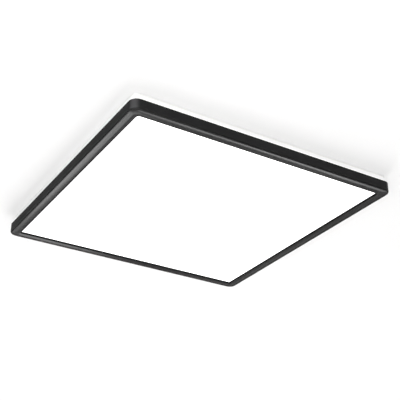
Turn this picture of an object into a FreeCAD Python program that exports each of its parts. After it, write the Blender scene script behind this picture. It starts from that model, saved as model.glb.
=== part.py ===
"""Square flush mount ceiling light with an edge-lit opal cover and a glowing rear rim.

Millimetres, +Z up. The origin is the centre of the face that lies on the ceiling, so the lamp
reaches from z = 0 down to z = -28. A steel plate stays on the ceiling. The lamp is pushed up
onto it and is held by two leaf springs, whose noses snap into windows in two catch brackets.
"""
import FreeCAD, Part
import math
import os

os.makedirs("parts", exist_ok=True)
V = FreeCAD.Vector
X_AXIS = V(1, 0, 0)
Y_AXIS = V(0, 1, 0)
Z_AXIS = V(0, 0, 1)
PAST = 1.0                     # how far a cutting tool runs past the face that it opens

# Driving sizes of the whole lamp
SIDE = 420.0
HALF = SIDE / 2
DEPTH = 28.0
CORNER_R = 12.0
OPENING_INSET = 15.0           # from the outer wall to the edge of the opal cover
OPENING_R = 4.0

# Front frame
FRAME_TOP_Z = -11.6
FRAME_WALL = 2.2
FRAME_TOP_R = 0.5
EDGE_INSET = 2.5               # where the rounded edge runs into the pillow-shaped front
CREST_INSET = 8.0              # where the front lies lowest
CREST_FLAT = 0.6
CROWN_RISE = 1.0               # how much higher the front lies at the opening than at the crest
CROWN_STEPS = 4
LIP_EASE = 0.4                 # eased edge round the opening
LIP_Z = -24.8                  # where the opal cover rests
EMBED = 0.2                    # how deep an added rib or web reaches into the wall it stands on
BOSS_AT = 198.5
BOSS_R = 3.0
BOSS_BORE_DEEP = 5.5
WEB_HALF = 0.6
RIB_HALF = 0.8
RIBS_PER_SIDE = 6
SCREW_R = 1.1
HOOK_AT = 95.0                 # the tray's snap hooks and the frame's pockets for them
HOOK_HALF = 8.0
POCKET_HALF = 9.0
POCKET_Z = (-17.2, -14.4)
POCKET_DEEP = 0.8

# Layers above the opal cover
COVER_THICK = 2.0
GUIDE_THICK = 3.0
REFLECTOR_THICK = 0.4
FOAM_THICK = 1.2
PLATE_THICK = 0.8
COVER_TOP_Z = LIP_Z + COVER_THICK
GUIDE_TOP_Z = COVER_TOP_Z + GUIDE_THICK
REFLECTOR_TOP_Z = GUIDE_TOP_Z + REFLECTOR_THICK
FOAM_TOP_Z = REFLECTOR_TOP_Z + FOAM_THICK
FLOOR_Z = FOAM_TOP_Z + PLATE_THICK          # top of the back plate, where the rear parts stand
COVER_HALF = HALF - 7.0
GUIDE_HALF = HALF - 7.9
FOAM_HALF = HALF - 20.0
PLATE_HALF = HALF - 6.0
SHEET_R = 6.0                  # corner rounding of the foam pad and the back plate
BEAD_AT = 134.0
BEAD_HIGH = 0.9
BEAD_HALF = 3.0
BEAD_SPANS = (((35, 75),), ((-100, -20), (20, 100)), ((-110, -35), (35, 110)), ((-100, -52), (52, 100)))
COVER_CLIP = 14.0              # corners cut off to pass the frame's bosses
GUIDE_CLIP = 12.5

# LED rails and boards, measured as insets from the outer wall
RAIL_INSET = 4.6
RAIL_THICK = 1.0
RAIL_FOOT = 8.9
RAIL_HALF_LENGTH = 186.0
RAIL_GAP = 0.2                 # between the rail and the frame's lip
BOARD_DROP = 0.3
BOARD_SHORT = 2.0              # how much sooner a board ends than its rail
BOARD_THICK = 1.0
BOARD_HIGH = 4.8
LED_LONG = 3.0
LED_HIGH = 1.4
LED_DEEP = 0.9
LEDS_PER_SIDE = 20

# Screws: head radius, head height, shank radius, shank length
CORNER_SCREW = (2.8, 1.8, 1.0, 5.8)
CASE_SCREW = (2.8, 1.8, 1.0, 2.8)
LID_SCREW = (1.9, 1.3, 0.85, 5.0)
GROUND_SCREW = (3.6, 2.2, 1.55, 3.6)

# Rear tray
RIM_INSET = 4.6
RIM_EDGE_R = 1.2
SKIRT_INSET = 2.5
SKIRT_BOTTOM_Z = -19.5
SHOULDER_Z = -11.9
TRAY_WALL = 1.8
TRAY_TOP = 2.0
TRAY_DISH = 0.8                # how far the tray's back face lies below the ceiling
WELL_HALF = 158.0
WELL_R = 12.0
FLANGE_HALF = 144.0
FLANGE_THICK = 2.0
DISH_INSET = 6.0
DISH_R = 3.0
TRAY_SCREW_AT = 151.0
TRAY_SCREW_SPREAD = 75.0
TRAY_RIBS = 5
TRAY_RIB_HALF = 0.7
TRAY_RIB_HIGH = 3.0
CLEARANCE_R = 1.7              # holes that an M3 screw passes through
PILOT_R = 1.2                  # holes that it cuts its thread in
CORNER_HOLE_R = 1.6

# Halo strips
HALO_AT = HALF - 28.0
HALO_WIDE = 8.0
HALO_THICK = 0.4
HALO_HALF_LENGTH = 165.0
HALO_LEDS = 12
HALO_LED_HALF = (1.4, 1.75)
HALO_LED_HIGH = 0.8

# Ceiling plate and its spring clips
CEILING_THICK = 1.5
CEILING_HALF_X = 125.0
CEILING_HALF_Y = 46.0
BEND_R = 2.3
FLANGE_DROP = 11.0
CLIP_FLANGE_HALF_Y = 30.0
SIDE_LIP_DROP = 5.0
SIDE_LIP_HALF_X = 100.0
SLOT_X = 95.0
SLOT_Y = 28.0
SLOT_R = 2.6
SLOT_LONG = 14.0
PLATE_R = 6.0
PLATE_WINDOW_X = 48.0
PLATE_WINDOW_HALF = (19.0, 20.0)
CABLE_Y = -29.0
CABLE_PLATE_R = 9.0
CABLE_R = 5.0
GROMMET_COLLAR = 2.2
GROMMET_DROP = 2.6
CLIP_THICK = 0.5
CLIP_HALF_Y = 12.0
CLIP_PATH = ((125.0, -1.8), (125.0, -6.8), (129.4, -9.4), (125.4, -12.7), (125.0, -14.0))
RIVET_R = 1.3
RIVET_HEAD_R = 2.2
RIVET_HEAD_HIGH = 0.8
RIVET_TOOL = 4.0               # how far a rivet's bore starts inside the end flange
RIVET_TAIL = (1.9, 0.7)        # radius and height of the closed end
RIVET_Y = 7.0
RIVET_Z = -4.3

# Catch brackets on the back plate
CATCH_X = 127.2
CATCH_THICK = 1.2
CATCH_HALF_Y = 19.0
CATCH_TOP_Z = -3.6
CATCH_FOOT = 13.0
CATCH_FLARE = 2.0
CATCH_FOOT_R = 3.0
CATCH_RIVET_X = 7.0
CATCH_RIVET_Y = 12.0
CATCH_RIVET_HEAD = (2.4, 0.9)  # radius and height
WINDOW_HALF_Y = 13.5
WINDOW_Z = (-12.9, -7.4)

# Driver
DRIVER_Y = 92.0
DRIVER_HALF_X = 80.0
DRIVER_HALF_Y = 22.0
DRIVER_R = 3.0
DRIVER_WALL = 1.6
LID_SEAT_Z = -3.6
LID_TOP_Z = -2.0
BOARD_HALF_X = 73.0
BOARD_HALF_Y = 18.5
BOARD_Z = -14.4
BOARD_STOCK = 1.6
LID_SCREW_X = 76.0
LID_SCREW_Y = 18.0
LID_BOSS_R = 2.9
LID_BORE = (0.9, 6.0)          # radius and depth
LID_EDGE_R = 0.6
LID_FIT = 0.15                 # free space between the lid's lip and the case
LID_LIP_DROP = 1.2
LID_LIP_WALL = 1.2
LID_SINK = (2.2, 0.9)          # counterbores for the lid's screw heads, radius and depth
VENTS = 8
VENT_SPREAD = 34.0
VENT_X = -22.0
VENT_HALF = (1.1, 9.0)
POST_R = 2.0
EAR_X = 86.0
EAR_R = 5.0
EAR_THICK = 2.0
PORT_HALF = 1.2                # half the size of the leads' mouths in the case

# Colour selector on the driver
SELECTOR_X = 50.0
SELECTOR_Y = DRIVER_Y - 9.0
SELECTOR_TRAVEL = 6.0
SELECTOR_SINK = 0.8            # depth of the recess round the knob
SWITCH_HALF = (9.0, 3.5)
SWITCH_CHANNEL = 2.0
STEM_HALF = (1.5, 0.9)
KNOB_LONG = 4.0
KNOB_WIDE = 3.0

# Parts on the driver's board: x, y from the driver's middle, radius, length
CANS = ((-28.0, 9.0, 4.0, 18.0), (28.0, 9.0, 3.6, 14.0), (28.0, -9.0, 3.0, 11.0))
TRANSFORMER_X = 7.0
CORE_HALF = (12.0, 10.0)
BOBBIN_HALF = (9.0, 13.0)
WINDING_HALF = (5.5, 12.0)
INDUCTOR_AT = (-42.0, -6.0)
INDUCTOR_R = (4.6, 2.0)
FILM_AT = (-56.0, 9.0)
FILM_HALF = (6.0, 2.6)
FILM_HIGH = 7.0
SINK_X = -22.0
SINK_Y = -14.0
SINK_HIGH = 6.5
FIN_PITCH = 3.2

# Terminal block
TERMINAL_Y = -84.0
TERMINAL_HALF_X = 15.0
TERMINAL_HALF_Y = 11.0
TERMINAL_HIGH = 9.0
POLE_PITCH = 9.0
POLES = ("neutral", "live", "earth")
LEVER_WIDE = 6.0
LEVER_LONG = 9.2
LEVER_HUB_R = 1.9
GRIP_R = 0.35                  # grooves across the lever's end
GRIP_PITCH = 1.3
AXLE_R = 0.75
AXLE_CLEARANCE = 0.05
AXLE_Y = TERMINAL_Y - 3.0
AXLE_Z = FLOOR_Z + 6.6
AXLE_END = 0.8                 # wall left at each end of the axle's bore
SLOT_SIDE = 0.35               # free space round a lever
MOUTH_R = 1.9
MOUTH_Z = FLOOR_Z + 3.2
MOUTH_DEEP = 6.0
CLAMP_HALF = 2.4
CLAMP_Y = (TERMINAL_Y - 0.7, TERMINAL_Y + 4.8)
CLAMP_Z = (FLOOR_Z + 1.0, FLOOR_Z + 5.2)
CLAMP_WALL = 0.6

# Leads
LEAD_R = 1.0
LEAD_Z = FLOOR_Z + LEAD_R + 0.1
BEND_SHARE = 0.45
LEAD_PORT_Z = FLOOR_Z + 4.6
INPUT_Y = (DRIVER_Y + 15.0, DRIVER_Y + 11.6)     # live, neutral
OUTPUT_Y = (DRIVER_Y + 12.0, DRIVER_Y - 14.0)    # halo, main
LEAD_NOTCH_Y = 100.0
CLIP_WALL = 0.9                # saddle clips over the leads
CLIP_HALF = 2.0
CLIP_REACH = 3.4
EARTH_AT = (34.0, -122.0)
WASHER = (4.4, 0.8)            # radius and thickness
LUG_HALF = 3.6
LUG_THICK = 0.8
LUG_LONG = 12.0
SLEEVE_R = 1.7
SLEEVE_Z = FLOOR_Z + 1.9
NUT_R = 3.2
NUT_HIGH = 1.2
CONNECTOR_AT = (118.0, 52.0)
CONNECTOR_HALF = 4.0
CONNECTOR_HIGH = 5.0
HALO_PLUG_X = 171.0
HALO_PLUG_HALF = 3.5
HALO_PLUG_HIGH = 3.6


def save(name, *solids):
    """Write one STEP file, with each piece of the node as a solid of its own."""
    shape = solids[0] if len(solids) == 1 else Part.makeCompound(list(solids))
    if not shape.isValid():
        raise ValueError(name + " is not a valid solid")
    shape.exportStep("parts/" + name + ".step")


def rounded_rect(half_x, half_y, radius, z, centre=(0.0, 0.0)):
    """Closed wire of a rectangle with rounded corners, at height z."""
    arcs = []
    for quarter, (side_x, side_y) in enumerate(((1, 1), (-1, 1), (-1, -1), (1, -1))):
        middle = V(centre[0] + side_x * (half_x - radius), centre[1] + side_y * (half_y - radius), z)
        start = quarter * math.pi / 2
        arcs.append(Part.ArcOfCircle(Part.Circle(middle, Z_AXIS, radius), start, start + math.pi / 2))
    edges = []
    for arc, following in zip(arcs, arcs[1:] + arcs[:1]):
        edges.append(arc.toShape())
        if arc.EndPoint.distanceToPoint(following.StartPoint) > 1e-6:
            edges.append(Part.LineSegment(arc.EndPoint, following.StartPoint).toShape())
    return Part.Wire(edges)


def slab(half_x, half_y, radius, low, high, centre=(0.0, 0.0)):
    """Upright block with rounded corners between two heights."""
    face = Part.Face(rounded_rect(half_x, half_y, radius, low, centre))
    return face.extrude(V(0, 0, high - low))


def square_slab(half, radius, low, high):
    return slab(half, half, radius, low, high)


def box(x, y, z):
    """Block between two limits on each axis, given as pairs."""
    return Part.makeBox(x[1] - x[0], y[1] - y[0], z[1] - z[0], V(x[0], y[0], z[0]))


def drum(x, y, low, high, radius):
    return Part.makeCylinder(radius, high - low, V(x, y, low))


def polygon(points):
    corners = [V(*p) for p in points]
    return Part.Face(Part.makePolygon(corners + corners[:1]))


def clipped_square(half, clip, low, high):
    """Square sheet whose four corners are cut off at 45 degrees."""
    reach = half - clip
    outline = ((half, -reach), (half, reach), (reach, half), (-reach, half),
               (-half, reach), (-half, -reach), (-reach, -half), (reach, -half))
    return polygon([(x, y, low) for x, y in outline]).extrude(V(0, 0, high - low))


def turned(shape, quarters):
    """Copy of a shape turned about the vertical axis by quarter turns."""
    copy = shape.copy()
    copy.rotate(V(0, 0, 0), Z_AXIS, 90 * quarters)
    return copy


def four_sides(shape):
    """The shape, made for the +X side, on all four sides of the square."""
    return [turned(shape, quarter) for quarter in range(4)]


def spread(count, half_length):
    """Evenly spaced places centred on 0, with half a pitch left free at each end."""
    pitch = 2 * half_length / count
    return [pitch * (i + 0.5) - half_length for i in range(count)]


def flat_edges(shape, z):
    """Edges that lie wholly at height z."""
    return [e for e in shape.Edges if all(abs(v.Z - z) < 1e-6 for v in e.Vertexes)]


def pan_head_screw(x, y, seat, head_r, head_high, shank_r, shank_long):
    """Screw pointing down, with a rounded head and a cross recess, seated at height seat."""
    head = drum(x, y, seat, seat + head_high, head_r)
    head = head.makeFillet(head_high * 0.6, flat_edges(head, seat + head_high))
    recess_half = head_r * 0.55
    blade_half = head_r * 0.13
    sink = (seat + head_high * 0.45, seat + head_high + PAST)
    long_x = box((x - recess_half, x + recess_half), (y - blade_half, y + blade_half), sink)
    long_y = box((x - blade_half, x + blade_half), (y - recess_half, y + recess_half), sink)
    shank = drum(x, y, seat - shank_long, seat, shank_r)
    return head.cut(long_x.fuse(long_y)).fuse(shank).removeSplitter()


def sheet_strip(path, thickness, half_width):
    """Bent strip: a path in the XZ plane thickened to its right-hand side, as wide as 2 * half_width."""
    points = [V(x, 0, z) for x, z in path]
    normals = []
    for a, b in zip(points, points[1:]):
        along = (b - a).normalize()
        normals.append(V(-along.z, 0, along.x))
    offset = []
    for i, point in enumerate(points):
        before = normals[max(i - 1, 0)]
        after = normals[min(i, len(normals) - 1)]
        mitre = (before + after).normalize()
        offset.append(point + mitre * (thickness / mitre.dot(after)))
    outline = [V(p.x, -half_width, p.z) for p in points + offset[::-1]]
    return Part.Face(Part.makePolygon(outline + outline[:1])).extrude(V(0, 2 * half_width, 0))


def lead(name, points, radius=LEAD_R):
    """Wire lead: straight runs joined by tangent arcs, each as large as its two runs allow."""
    stations = [V(*p) for p in points]
    edges = []
    radii = []
    start = stations[0]
    for before, corner, after in zip(stations, stations[1:], stations[2:]):
        into = (corner - before).normalize()
        out = (after - corner).normalize()
        turn = into.getAngle(out)
        cut = BEND_SHARE * min((corner - before).Length, (after - corner).Length)
        bend = cut / math.tan(turn / 2)
        radii.append(round(bend, 1))
        first = corner - into * cut
        last = corner + out * cut
        inward = (out - into).normalize()
        middle = corner + inward * (bend / math.cos(turn / 2) - bend)
        edges.append(Part.LineSegment(start, first).toShape())
        edges.append(Part.Arc(first, middle, last).toShape())
        start = last
    edges.append(Part.LineSegment(start, stations[-1]).toShape())
    path = Part.Wire(edges)
    section = Part.Wire(Part.makeCircle(radius, stations[0], stations[1] - stations[0]))
    tube = path.makePipeShell([section], True, False)
    expected = math.pi * radius ** 2 * path.Length
    print(name, "bend radii", radii, "length", round(path.Length), "volume share",
          round(tube.Volume / expected, 3))
    return tube


def crown_rise(inset):
    """How far the pillow-shaped front lies above its crest."""
    return CROWN_RISE * ((inset - CREST_INSET) / (OPENING_INSET - CREST_INSET)) ** 2


def crown_ring(inset, z):
    """Outline of the frame's front at an inset. Its corners tighten towards the opening."""
    share = max(0.0, (inset - EDGE_INSET) / (OPENING_INSET - EDGE_INSET))
    radius = (CORNER_R - min(inset, EDGE_INSET)) * (1 - share) + OPENING_R * share
    return rounded_rect(HALF - inset, HALF - inset, radius, z)


def frame_outside():
    """Side wall, an edge rounded to meet the front in one line, and the front out to its crest."""
    front_z = -DEPTH
    slope = math.atan(2 * CROWN_RISE * (CREST_INSET - EDGE_INSET) / (OPENING_INSET - CREST_INSET) ** 2)
    edge_r = EDGE_INSET / (1 - math.sin(slope))
    join_z = front_z + crown_rise(EDGE_INSET)
    low_z = join_z - edge_r * (1 - math.cos(slope))
    wall = square_slab(HALF, CORNER_R, low_z, FRAME_TOP_Z)
    wall = wall.makeFillet(edge_r, flat_edges(wall, low_z))
    wall = wall.makeFillet(FRAME_TOP_R, flat_edges(wall, FRAME_TOP_Z))
    reach = (-HALF - PAST, HALF + PAST)
    above = box(reach, reach, (join_z, FRAME_TOP_Z + PAST))
    crest = CREST_INSET - CREST_FLAT / 2
    rings = [crown_ring(EDGE_INSET, join_z)]
    for step in range(1, CROWN_STEPS):
        inset = EDGE_INSET + (crest - EDGE_INSET) * step / CROWN_STEPS
        rings.append(crown_ring(inset, front_z + crown_rise(inset)))
    rings.append(crown_ring(crest, front_z))
    return wall.common(above).fuse(Part.makeLoft(rings, True, True))


def frame_inside():
    """Tools that leave the inner half of the front, the opening and the hollow behind the lip."""
    front_z = -DEPTH
    crest = CREST_INSET + CREST_FLAT / 2
    last = OPENING_INSET - LIP_EASE
    rings = [crown_ring(crest, front_z)]
    for step in range(1, CROWN_STEPS + 1):
        inset = crest + (last - crest) * step / CROWN_STEPS
        rings.append(crown_ring(inset, front_z + crown_rise(inset)))
    low_z = front_z + crown_rise(last) + LIP_EASE
    rings.append(crown_ring(OPENING_INSET, low_z))
    opening = square_slab(HALF - OPENING_INSET, OPENING_R, low_z, LIP_Z + PAST)
    hollow = square_slab(HALF - FRAME_WALL, CORNER_R - FRAME_WALL, LIP_Z, FRAME_TOP_Z + PAST)
    return [Part.makeLoft(rings, True, True), opening, hollow]


def make_front_frame():
    """Black moulding: side wall, rounded edge, pillow-shaped rim, corner bosses and snap pockets."""
    body = frame_outside().cut(frame_inside())
    wall_face = HALF - FRAME_WALL + EMBED
    rib_z = (LIP_Z - EMBED, SKIRT_BOTTOM_Z - 0.4)
    additions = []
    for place in spread(RIBS_PER_SIDE, RAIL_HALF_LENGTH):
        rib = box((HALF - RAIL_INSET + 0.2, wall_face), (place - RIB_HALF, place + RIB_HALF), rib_z)
        additions += four_sides(rib)
    web = (BOSS_AT - WEB_HALF, BOSS_AT + WEB_HALF)
    boss = drum(BOSS_AT, BOSS_AT, LIP_Z - EMBED, FOAM_TOP_Z, BOSS_R)
    additions += four_sides(boss.fuse([box((BOSS_AT, wall_face), web, rib_z),
                                       box(web, (BOSS_AT, wall_face), rib_z)]))
    body = body.fuse(additions)
    cuts = four_sides(drum(BOSS_AT, BOSS_AT, FOAM_TOP_Z - BOSS_BORE_DEEP, FOAM_TOP_Z + PAST, SCREW_R))
    for place in (-HOOK_AT, HOOK_AT):
        pocket = box((HALF - SKIRT_INSET - EMBED, HALF - FRAME_WALL + POCKET_DEEP),
                     (place - POCKET_HALF, place + POCKET_HALF), POCKET_Z)
        cuts += four_sides(pocket)
    save("front_frame", body.cut(cuts).removeSplitter())


def make_optics():
    """Opal cover, light guide, reflector sheet and foam pad, stacked on the frame's lip."""
    save("opal_cover", clipped_square(COVER_HALF, COVER_CLIP, LIP_Z, COVER_TOP_Z))
    save("light_guide", clipped_square(GUIDE_HALF, GUIDE_CLIP, COVER_TOP_Z, GUIDE_TOP_Z))
    save("reflector_sheet", clipped_square(GUIDE_HALF, GUIDE_CLIP, GUIDE_TOP_Z, REFLECTOR_TOP_Z))
    save("foam_pad", square_slab(FOAM_HALF, SHEET_R, REFLECTOR_TOP_Z, FOAM_TOP_Z))


def make_led_edges():
    """Aluminium rails on the four sides, each with its LED board and LEDs facing the light guide."""
    outer = HALF - RAIL_INSET
    inner = outer - RAIL_THICK
    length = (-RAIL_HALF_LENGTH, RAIL_HALF_LENGTH)
    wall = box((inner, outer), length, (LIP_Z + RAIL_GAP, FOAM_TOP_Z))
    foot = box((inner - RAIL_FOOT + RAIL_THICK, inner), length, (FOAM_TOP_Z - RAIL_THICK, FOAM_TOP_Z))
    rail = wall.fuse(foot).removeSplitter()
    board_top = FOAM_TOP_Z - RAIL_THICK - BOARD_DROP
    board_half = RAIL_HALF_LENGTH - BOARD_SHORT
    board = box((inner - BOARD_THICK, inner), (-board_half, board_half), (board_top - BOARD_HIGH, board_top))
    face = inner - BOARD_THICK
    led_z = (COVER_TOP_Z + GUIDE_TOP_Z) / 2
    names = ("right", "back", "left", "front")
    leds = []
    for quarter, name in enumerate(names):
        save("led_rail_" + name, turned(rail, quarter))
        save("led_board_" + name, turned(board, quarter))
        for place in spread(LEDS_PER_SIDE, board_half):
            led = box((face - LED_DEEP, face), (place - LED_LONG / 2, place + LED_LONG / 2),
                      (led_z - LED_HIGH / 2, led_z + LED_HIGH / 2))
            leds.append(turned(led, quarter))
    save("edge_leds", *leds)


def make_back_plate():
    """Pressed steel sheet with raised beads, screw holes and a lead hole."""
    plate = square_slab(PLATE_HALF, SHEET_R, FOAM_TOP_Z, FLOOR_Z)
    groove_half = BEAD_HALF - PLATE_THICK
    round_off = 0.01               # keeps a short straight run between two rounded ends
    ridges, grooves = [], []
    for quarter, spans in enumerate(BEAD_SPANS):
        for start, end in spans:
            centre = (BEAD_AT, (start + end) / 2)
            half_long = (end - start) / 2
            ridge = slab(BEAD_HALF, half_long, BEAD_HALF - round_off, FLOOR_Z - EMBED, FLOOR_Z + BEAD_HIGH,
                         centre)
            groove = slab(groove_half, half_long - PLATE_THICK, groove_half - round_off,
                          FOAM_TOP_Z - PAST, FLOOR_Z + BEAD_HIGH - PLATE_THICK, centre)
            ridges.append(turned(ridge, quarter))
            grooves.append(turned(groove, quarter))
    places = [(at, CORNER_HOLE_R) for at in corner_screws() + [EARTH_AT]]
    places += [(at, PILOT_R) for at in tray_screws() + ear_screws()]
    places += [(at, RIVET_R) for at in catch_rivets()]
    holes = [drum(x, y, FOAM_TOP_Z - PAST, FLOOR_Z + PAST, radius) for (x, y), radius in places]
    save("back_plate", plate.fuse(ridges).cut(grooves + holes).removeSplitter())


def corner_screws():
    return [(sx * BOSS_AT, sy * BOSS_AT) for sx in (-1, 1) for sy in (-1, 1)]


def tray_screws():
    places = []
    for side in (-1, 1):
        for along in (-TRAY_SCREW_SPREAD, TRAY_SCREW_SPREAD):
            places += [(side * TRAY_SCREW_AT, along), (along, side * TRAY_SCREW_AT)]
    return places


def ear_screws():
    return [(side * EAR_X, DRIVER_Y) for side in (-1, 1)]


def catch_rivets():
    rivet_x = CATCH_X + CATCH_THICK + CATCH_RIVET_X
    return [(side * rivet_x, y) for side in (-1, 1) for y in (-CATCH_RIVET_Y, CATCH_RIVET_Y)]


def make_rear_tray():
    """White translucent moulding: glowing rim, dished back, and a square well with a flange."""
    rim_half = HALF - RIM_INSET
    skirt_half = HALF - SKIRT_INSET
    rim = square_slab(rim_half, CORNER_R - RIM_INSET, SHOULDER_Z, 0.0)
    rim = rim.makeFillet(RIM_EDGE_R, flat_edges(rim, 0.0))
    skirt = square_slab(skirt_half, CORNER_R - SKIRT_INSET, SKIRT_BOTTOM_Z, SHOULDER_Z)
    hollow_high = square_slab(rim_half - TRAY_WALL, CORNER_R - RIM_INSET - TRAY_WALL,
                              SHOULDER_Z - TRAY_WALL - PAST, -TRAY_DISH - TRAY_TOP)
    hollow_low = square_slab(skirt_half - TRAY_WALL, CORNER_R - SKIRT_INSET - TRAY_WALL,
                             SKIRT_BOTTOM_Z - PAST, SHOULDER_Z - TRAY_WALL)
    shell = rim.fuse(skirt).cut([hollow_high, hollow_low])
    dish = square_slab(rim_half - DISH_INSET, DISH_R, -TRAY_DISH, PAST)
    shell = shell.cut(dish)
    well = square_slab(WELL_HALF + TRAY_WALL, WELL_R + TRAY_WALL, FLOOR_Z, -TRAY_DISH)
    rib_high = -TRAY_DISH - TRAY_TOP / 2
    ribs = []
    for place in spread(TRAY_RIBS, WELL_HALF):
        rib = box((WELL_HALF + TRAY_WALL / 2, rim_half - TRAY_WALL / 2),
                  (place - TRAY_RIB_HALF, place + TRAY_RIB_HALF), (rib_high - TRAY_RIB_HIGH, rib_high))
        ribs += four_sides(rib)
    shell = shell.fuse([well] + ribs)
    well_inside = square_slab(WELL_HALF, WELL_R, FLOOR_Z + FLANGE_THICK, PAST)
    flange_inside = square_slab(FLANGE_HALF, WELL_R - 2, FLOOR_Z - PAST, PAST)
    notch = box((FLANGE_HALF - PAST, WELL_HALF + TRAY_WALL + PAST),
                (LEAD_NOTCH_Y - 3.0, LEAD_NOTCH_Y + 3.0), (FLOOR_Z - PAST, FLOOR_Z + 4.0))
    cuts = [well_inside, flange_inside, notch]
    cuts += [drum(x, y, FLOOR_Z - PAST, PAST, CLEARANCE_R) for x, y in tray_screws()]
    hooks = []
    for place in (-HOOK_AT, HOOK_AT):
        profile = polygon([(skirt_half - 0.3, place - HOOK_HALF, -17.0),
                           (skirt_half + 0.7, place - HOOK_HALF, -15.4),
                           (skirt_half + 0.7, place - HOOK_HALF, -14.7),
                           (skirt_half - 0.3, place - HOOK_HALF, -14.7)])
        hooks += four_sides(profile.extrude(V(0, 2 * HOOK_HALF, 0)))
    save("rear_tray", shell.cut(cuts).fuse(hooks).removeSplitter())


def make_halo_strips():
    """LED strips on the back plate that light the rear tray from inside."""
    strip = box((HALO_AT - HALO_WIDE / 2, HALO_AT + HALO_WIDE / 2),
                (-HALO_HALF_LENGTH, HALO_HALF_LENGTH), (FLOOR_Z, FLOOR_Z + HALO_THICK))
    top = FLOOR_Z + HALO_THICK
    half_x, half_y = HALO_LED_HALF
    leds = []
    for place in spread(HALO_LEDS, HALO_HALF_LENGTH):
        led = box((HALO_AT - half_x, HALO_AT + half_x), (place - half_y, place + half_y),
                  (top, top + HALO_LED_HIGH))
        leds += four_sides(led)
    save("halo_strips", *four_sides(strip))
    save("halo_leds", *leds)


def make_frame_fasteners():
    save("corner_screws", *[pan_head_screw(x, y, FLOOR_Z, *CORNER_SCREW) for x, y in corner_screws()])
    seat = FLOOR_Z + FLANGE_THICK
    save("tray_screws", *[pan_head_screw(x, y, seat, *CASE_SCREW) for x, y in tray_screws()])


def make_ceiling_plate():
    """Bent steel plate with end flanges for the clips, side lips, slots, windows and a cable hole."""
    top = slab(CEILING_HALF_X - RIVET_TOOL, CEILING_HALF_Y - CEILING_THICK, PLATE_R, -CEILING_THICK, 0.0)
    drop_x = box((CEILING_HALF_X - CEILING_THICK, CEILING_HALF_X),
                 (-CLIP_FLANGE_HALF_Y, CLIP_FLANGE_HALF_Y), (-FLANGE_DROP, -BEND_R))
    arm_x = box((CEILING_HALF_X - 12, CEILING_HALF_X - BEND_R),
                (-CLIP_FLANGE_HALF_Y, CLIP_FLANGE_HALF_Y), (-CEILING_THICK, 0.0))
    bend_x = bend(BEND_R, CEILING_THICK, 2 * CLIP_FLANGE_HALF_Y)
    bend_x.translate(V(CEILING_HALF_X - BEND_R, -CLIP_FLANGE_HALF_Y, -BEND_R))
    end = drop_x.fuse([arm_x, bend_x])
    drop_y = box((-SIDE_LIP_HALF_X, SIDE_LIP_HALF_X),
                 (CEILING_HALF_Y - CEILING_THICK, CEILING_HALF_Y), (-SIDE_LIP_DROP, -BEND_R))
    arm_y = box((-SIDE_LIP_HALF_X, SIDE_LIP_HALF_X),
                (CEILING_HALF_Y - 8, CEILING_HALF_Y - BEND_R), (-CEILING_THICK, 0.0))
    bend_y = bend(BEND_R, CEILING_THICK, 2 * SIDE_LIP_HALF_X)
    bend_y.rotate(V(0, 0, 0), Z_AXIS, 90)
    bend_y.translate(V(SIDE_LIP_HALF_X, CEILING_HALF_Y - BEND_R, -BEND_R))
    side = drop_y.fuse([arm_y, bend_y])
    plate = top.fuse([end, turned(end, 2), side, turned(side, 2)])
    cuts = [drum(0, CABLE_Y, -CEILING_THICK - PAST, PAST, CABLE_PLATE_R)]
    for side_x in (-1, 1):
        cuts.append(slab(*PLATE_WINDOW_HALF, PLATE_R, -CEILING_THICK - PAST, PAST,
                         (side_x * PLATE_WINDOW_X, 0.0)))
        for side_y in (-1, 1):
            cuts.append(slab(SLOT_LONG / 2, SLOT_R, SLOT_R - 0.001, -CEILING_THICK - PAST, PAST,
                             (side_x * SLOT_X, side_y * SLOT_Y)))
            start = V(side_x * (CEILING_HALF_X - RIVET_TOOL), side_y * RIVET_Y, RIVET_Z)
            cuts.append(Part.makeCylinder(RIVET_R, 2 * RIVET_TOOL, start, V(side_x, 0, 0)))
    save("ceiling_plate", plate.cut(cuts).removeSplitter())


def bend(outer_r, thickness, width):
    """Quarter of a tube along Y, which joins a level sheet to a hanging flange."""
    full = Part.makeCylinder(outer_r, width, V(0, 0, 0), Y_AXIS)
    hole = Part.makeCylinder(outer_r - thickness, width + 2 * PAST, V(0, -PAST, 0), Y_AXIS)
    quarter = box((0.0, outer_r + PAST), (-PAST, width + PAST), (0.0, outer_r + PAST))
    return full.cut(hole).common(quarter)


def make_spring_clips():
    """Leaf springs whose noses reach through the windows of the catch brackets."""
    strip = sheet_strip(CLIP_PATH, CLIP_THICK, CLIP_HALF_Y)
    holes = [Part.makeCylinder(RIVET_R, 2 * RIVET_TOOL, V(CEILING_HALF_X - RIVET_TOOL, y, RIVET_Z), X_AXIS)
             for y in (-RIVET_Y, RIVET_Y)]
    right = strip.cut(holes)
    save("spring_clip_right", right)
    save("spring_clip_left", turned(right, 2))
    tail_r, tail_high = RIVET_TAIL
    inner_x = CEILING_HALF_X - CEILING_THICK
    rivets = []
    for y in (-RIVET_Y, RIVET_Y):
        head_at = V(CEILING_HALF_X + CLIP_THICK, y, RIVET_Z)
        head = Part.makeCylinder(RIVET_HEAD_R, RIVET_HEAD_HIGH, head_at, X_AXIS)
        shank = Part.makeCylinder(RIVET_R, CEILING_THICK + CLIP_THICK, V(inner_x, y, RIVET_Z), X_AXIS)
        tail = Part.makeCylinder(tail_r, tail_high, V(inner_x - tail_high, y, RIVET_Z), X_AXIS)
        rivets.append(head.fuse([shank, tail]))
    save("clip_rivets", *(rivets + [turned(r, 2) for r in rivets]))


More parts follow.
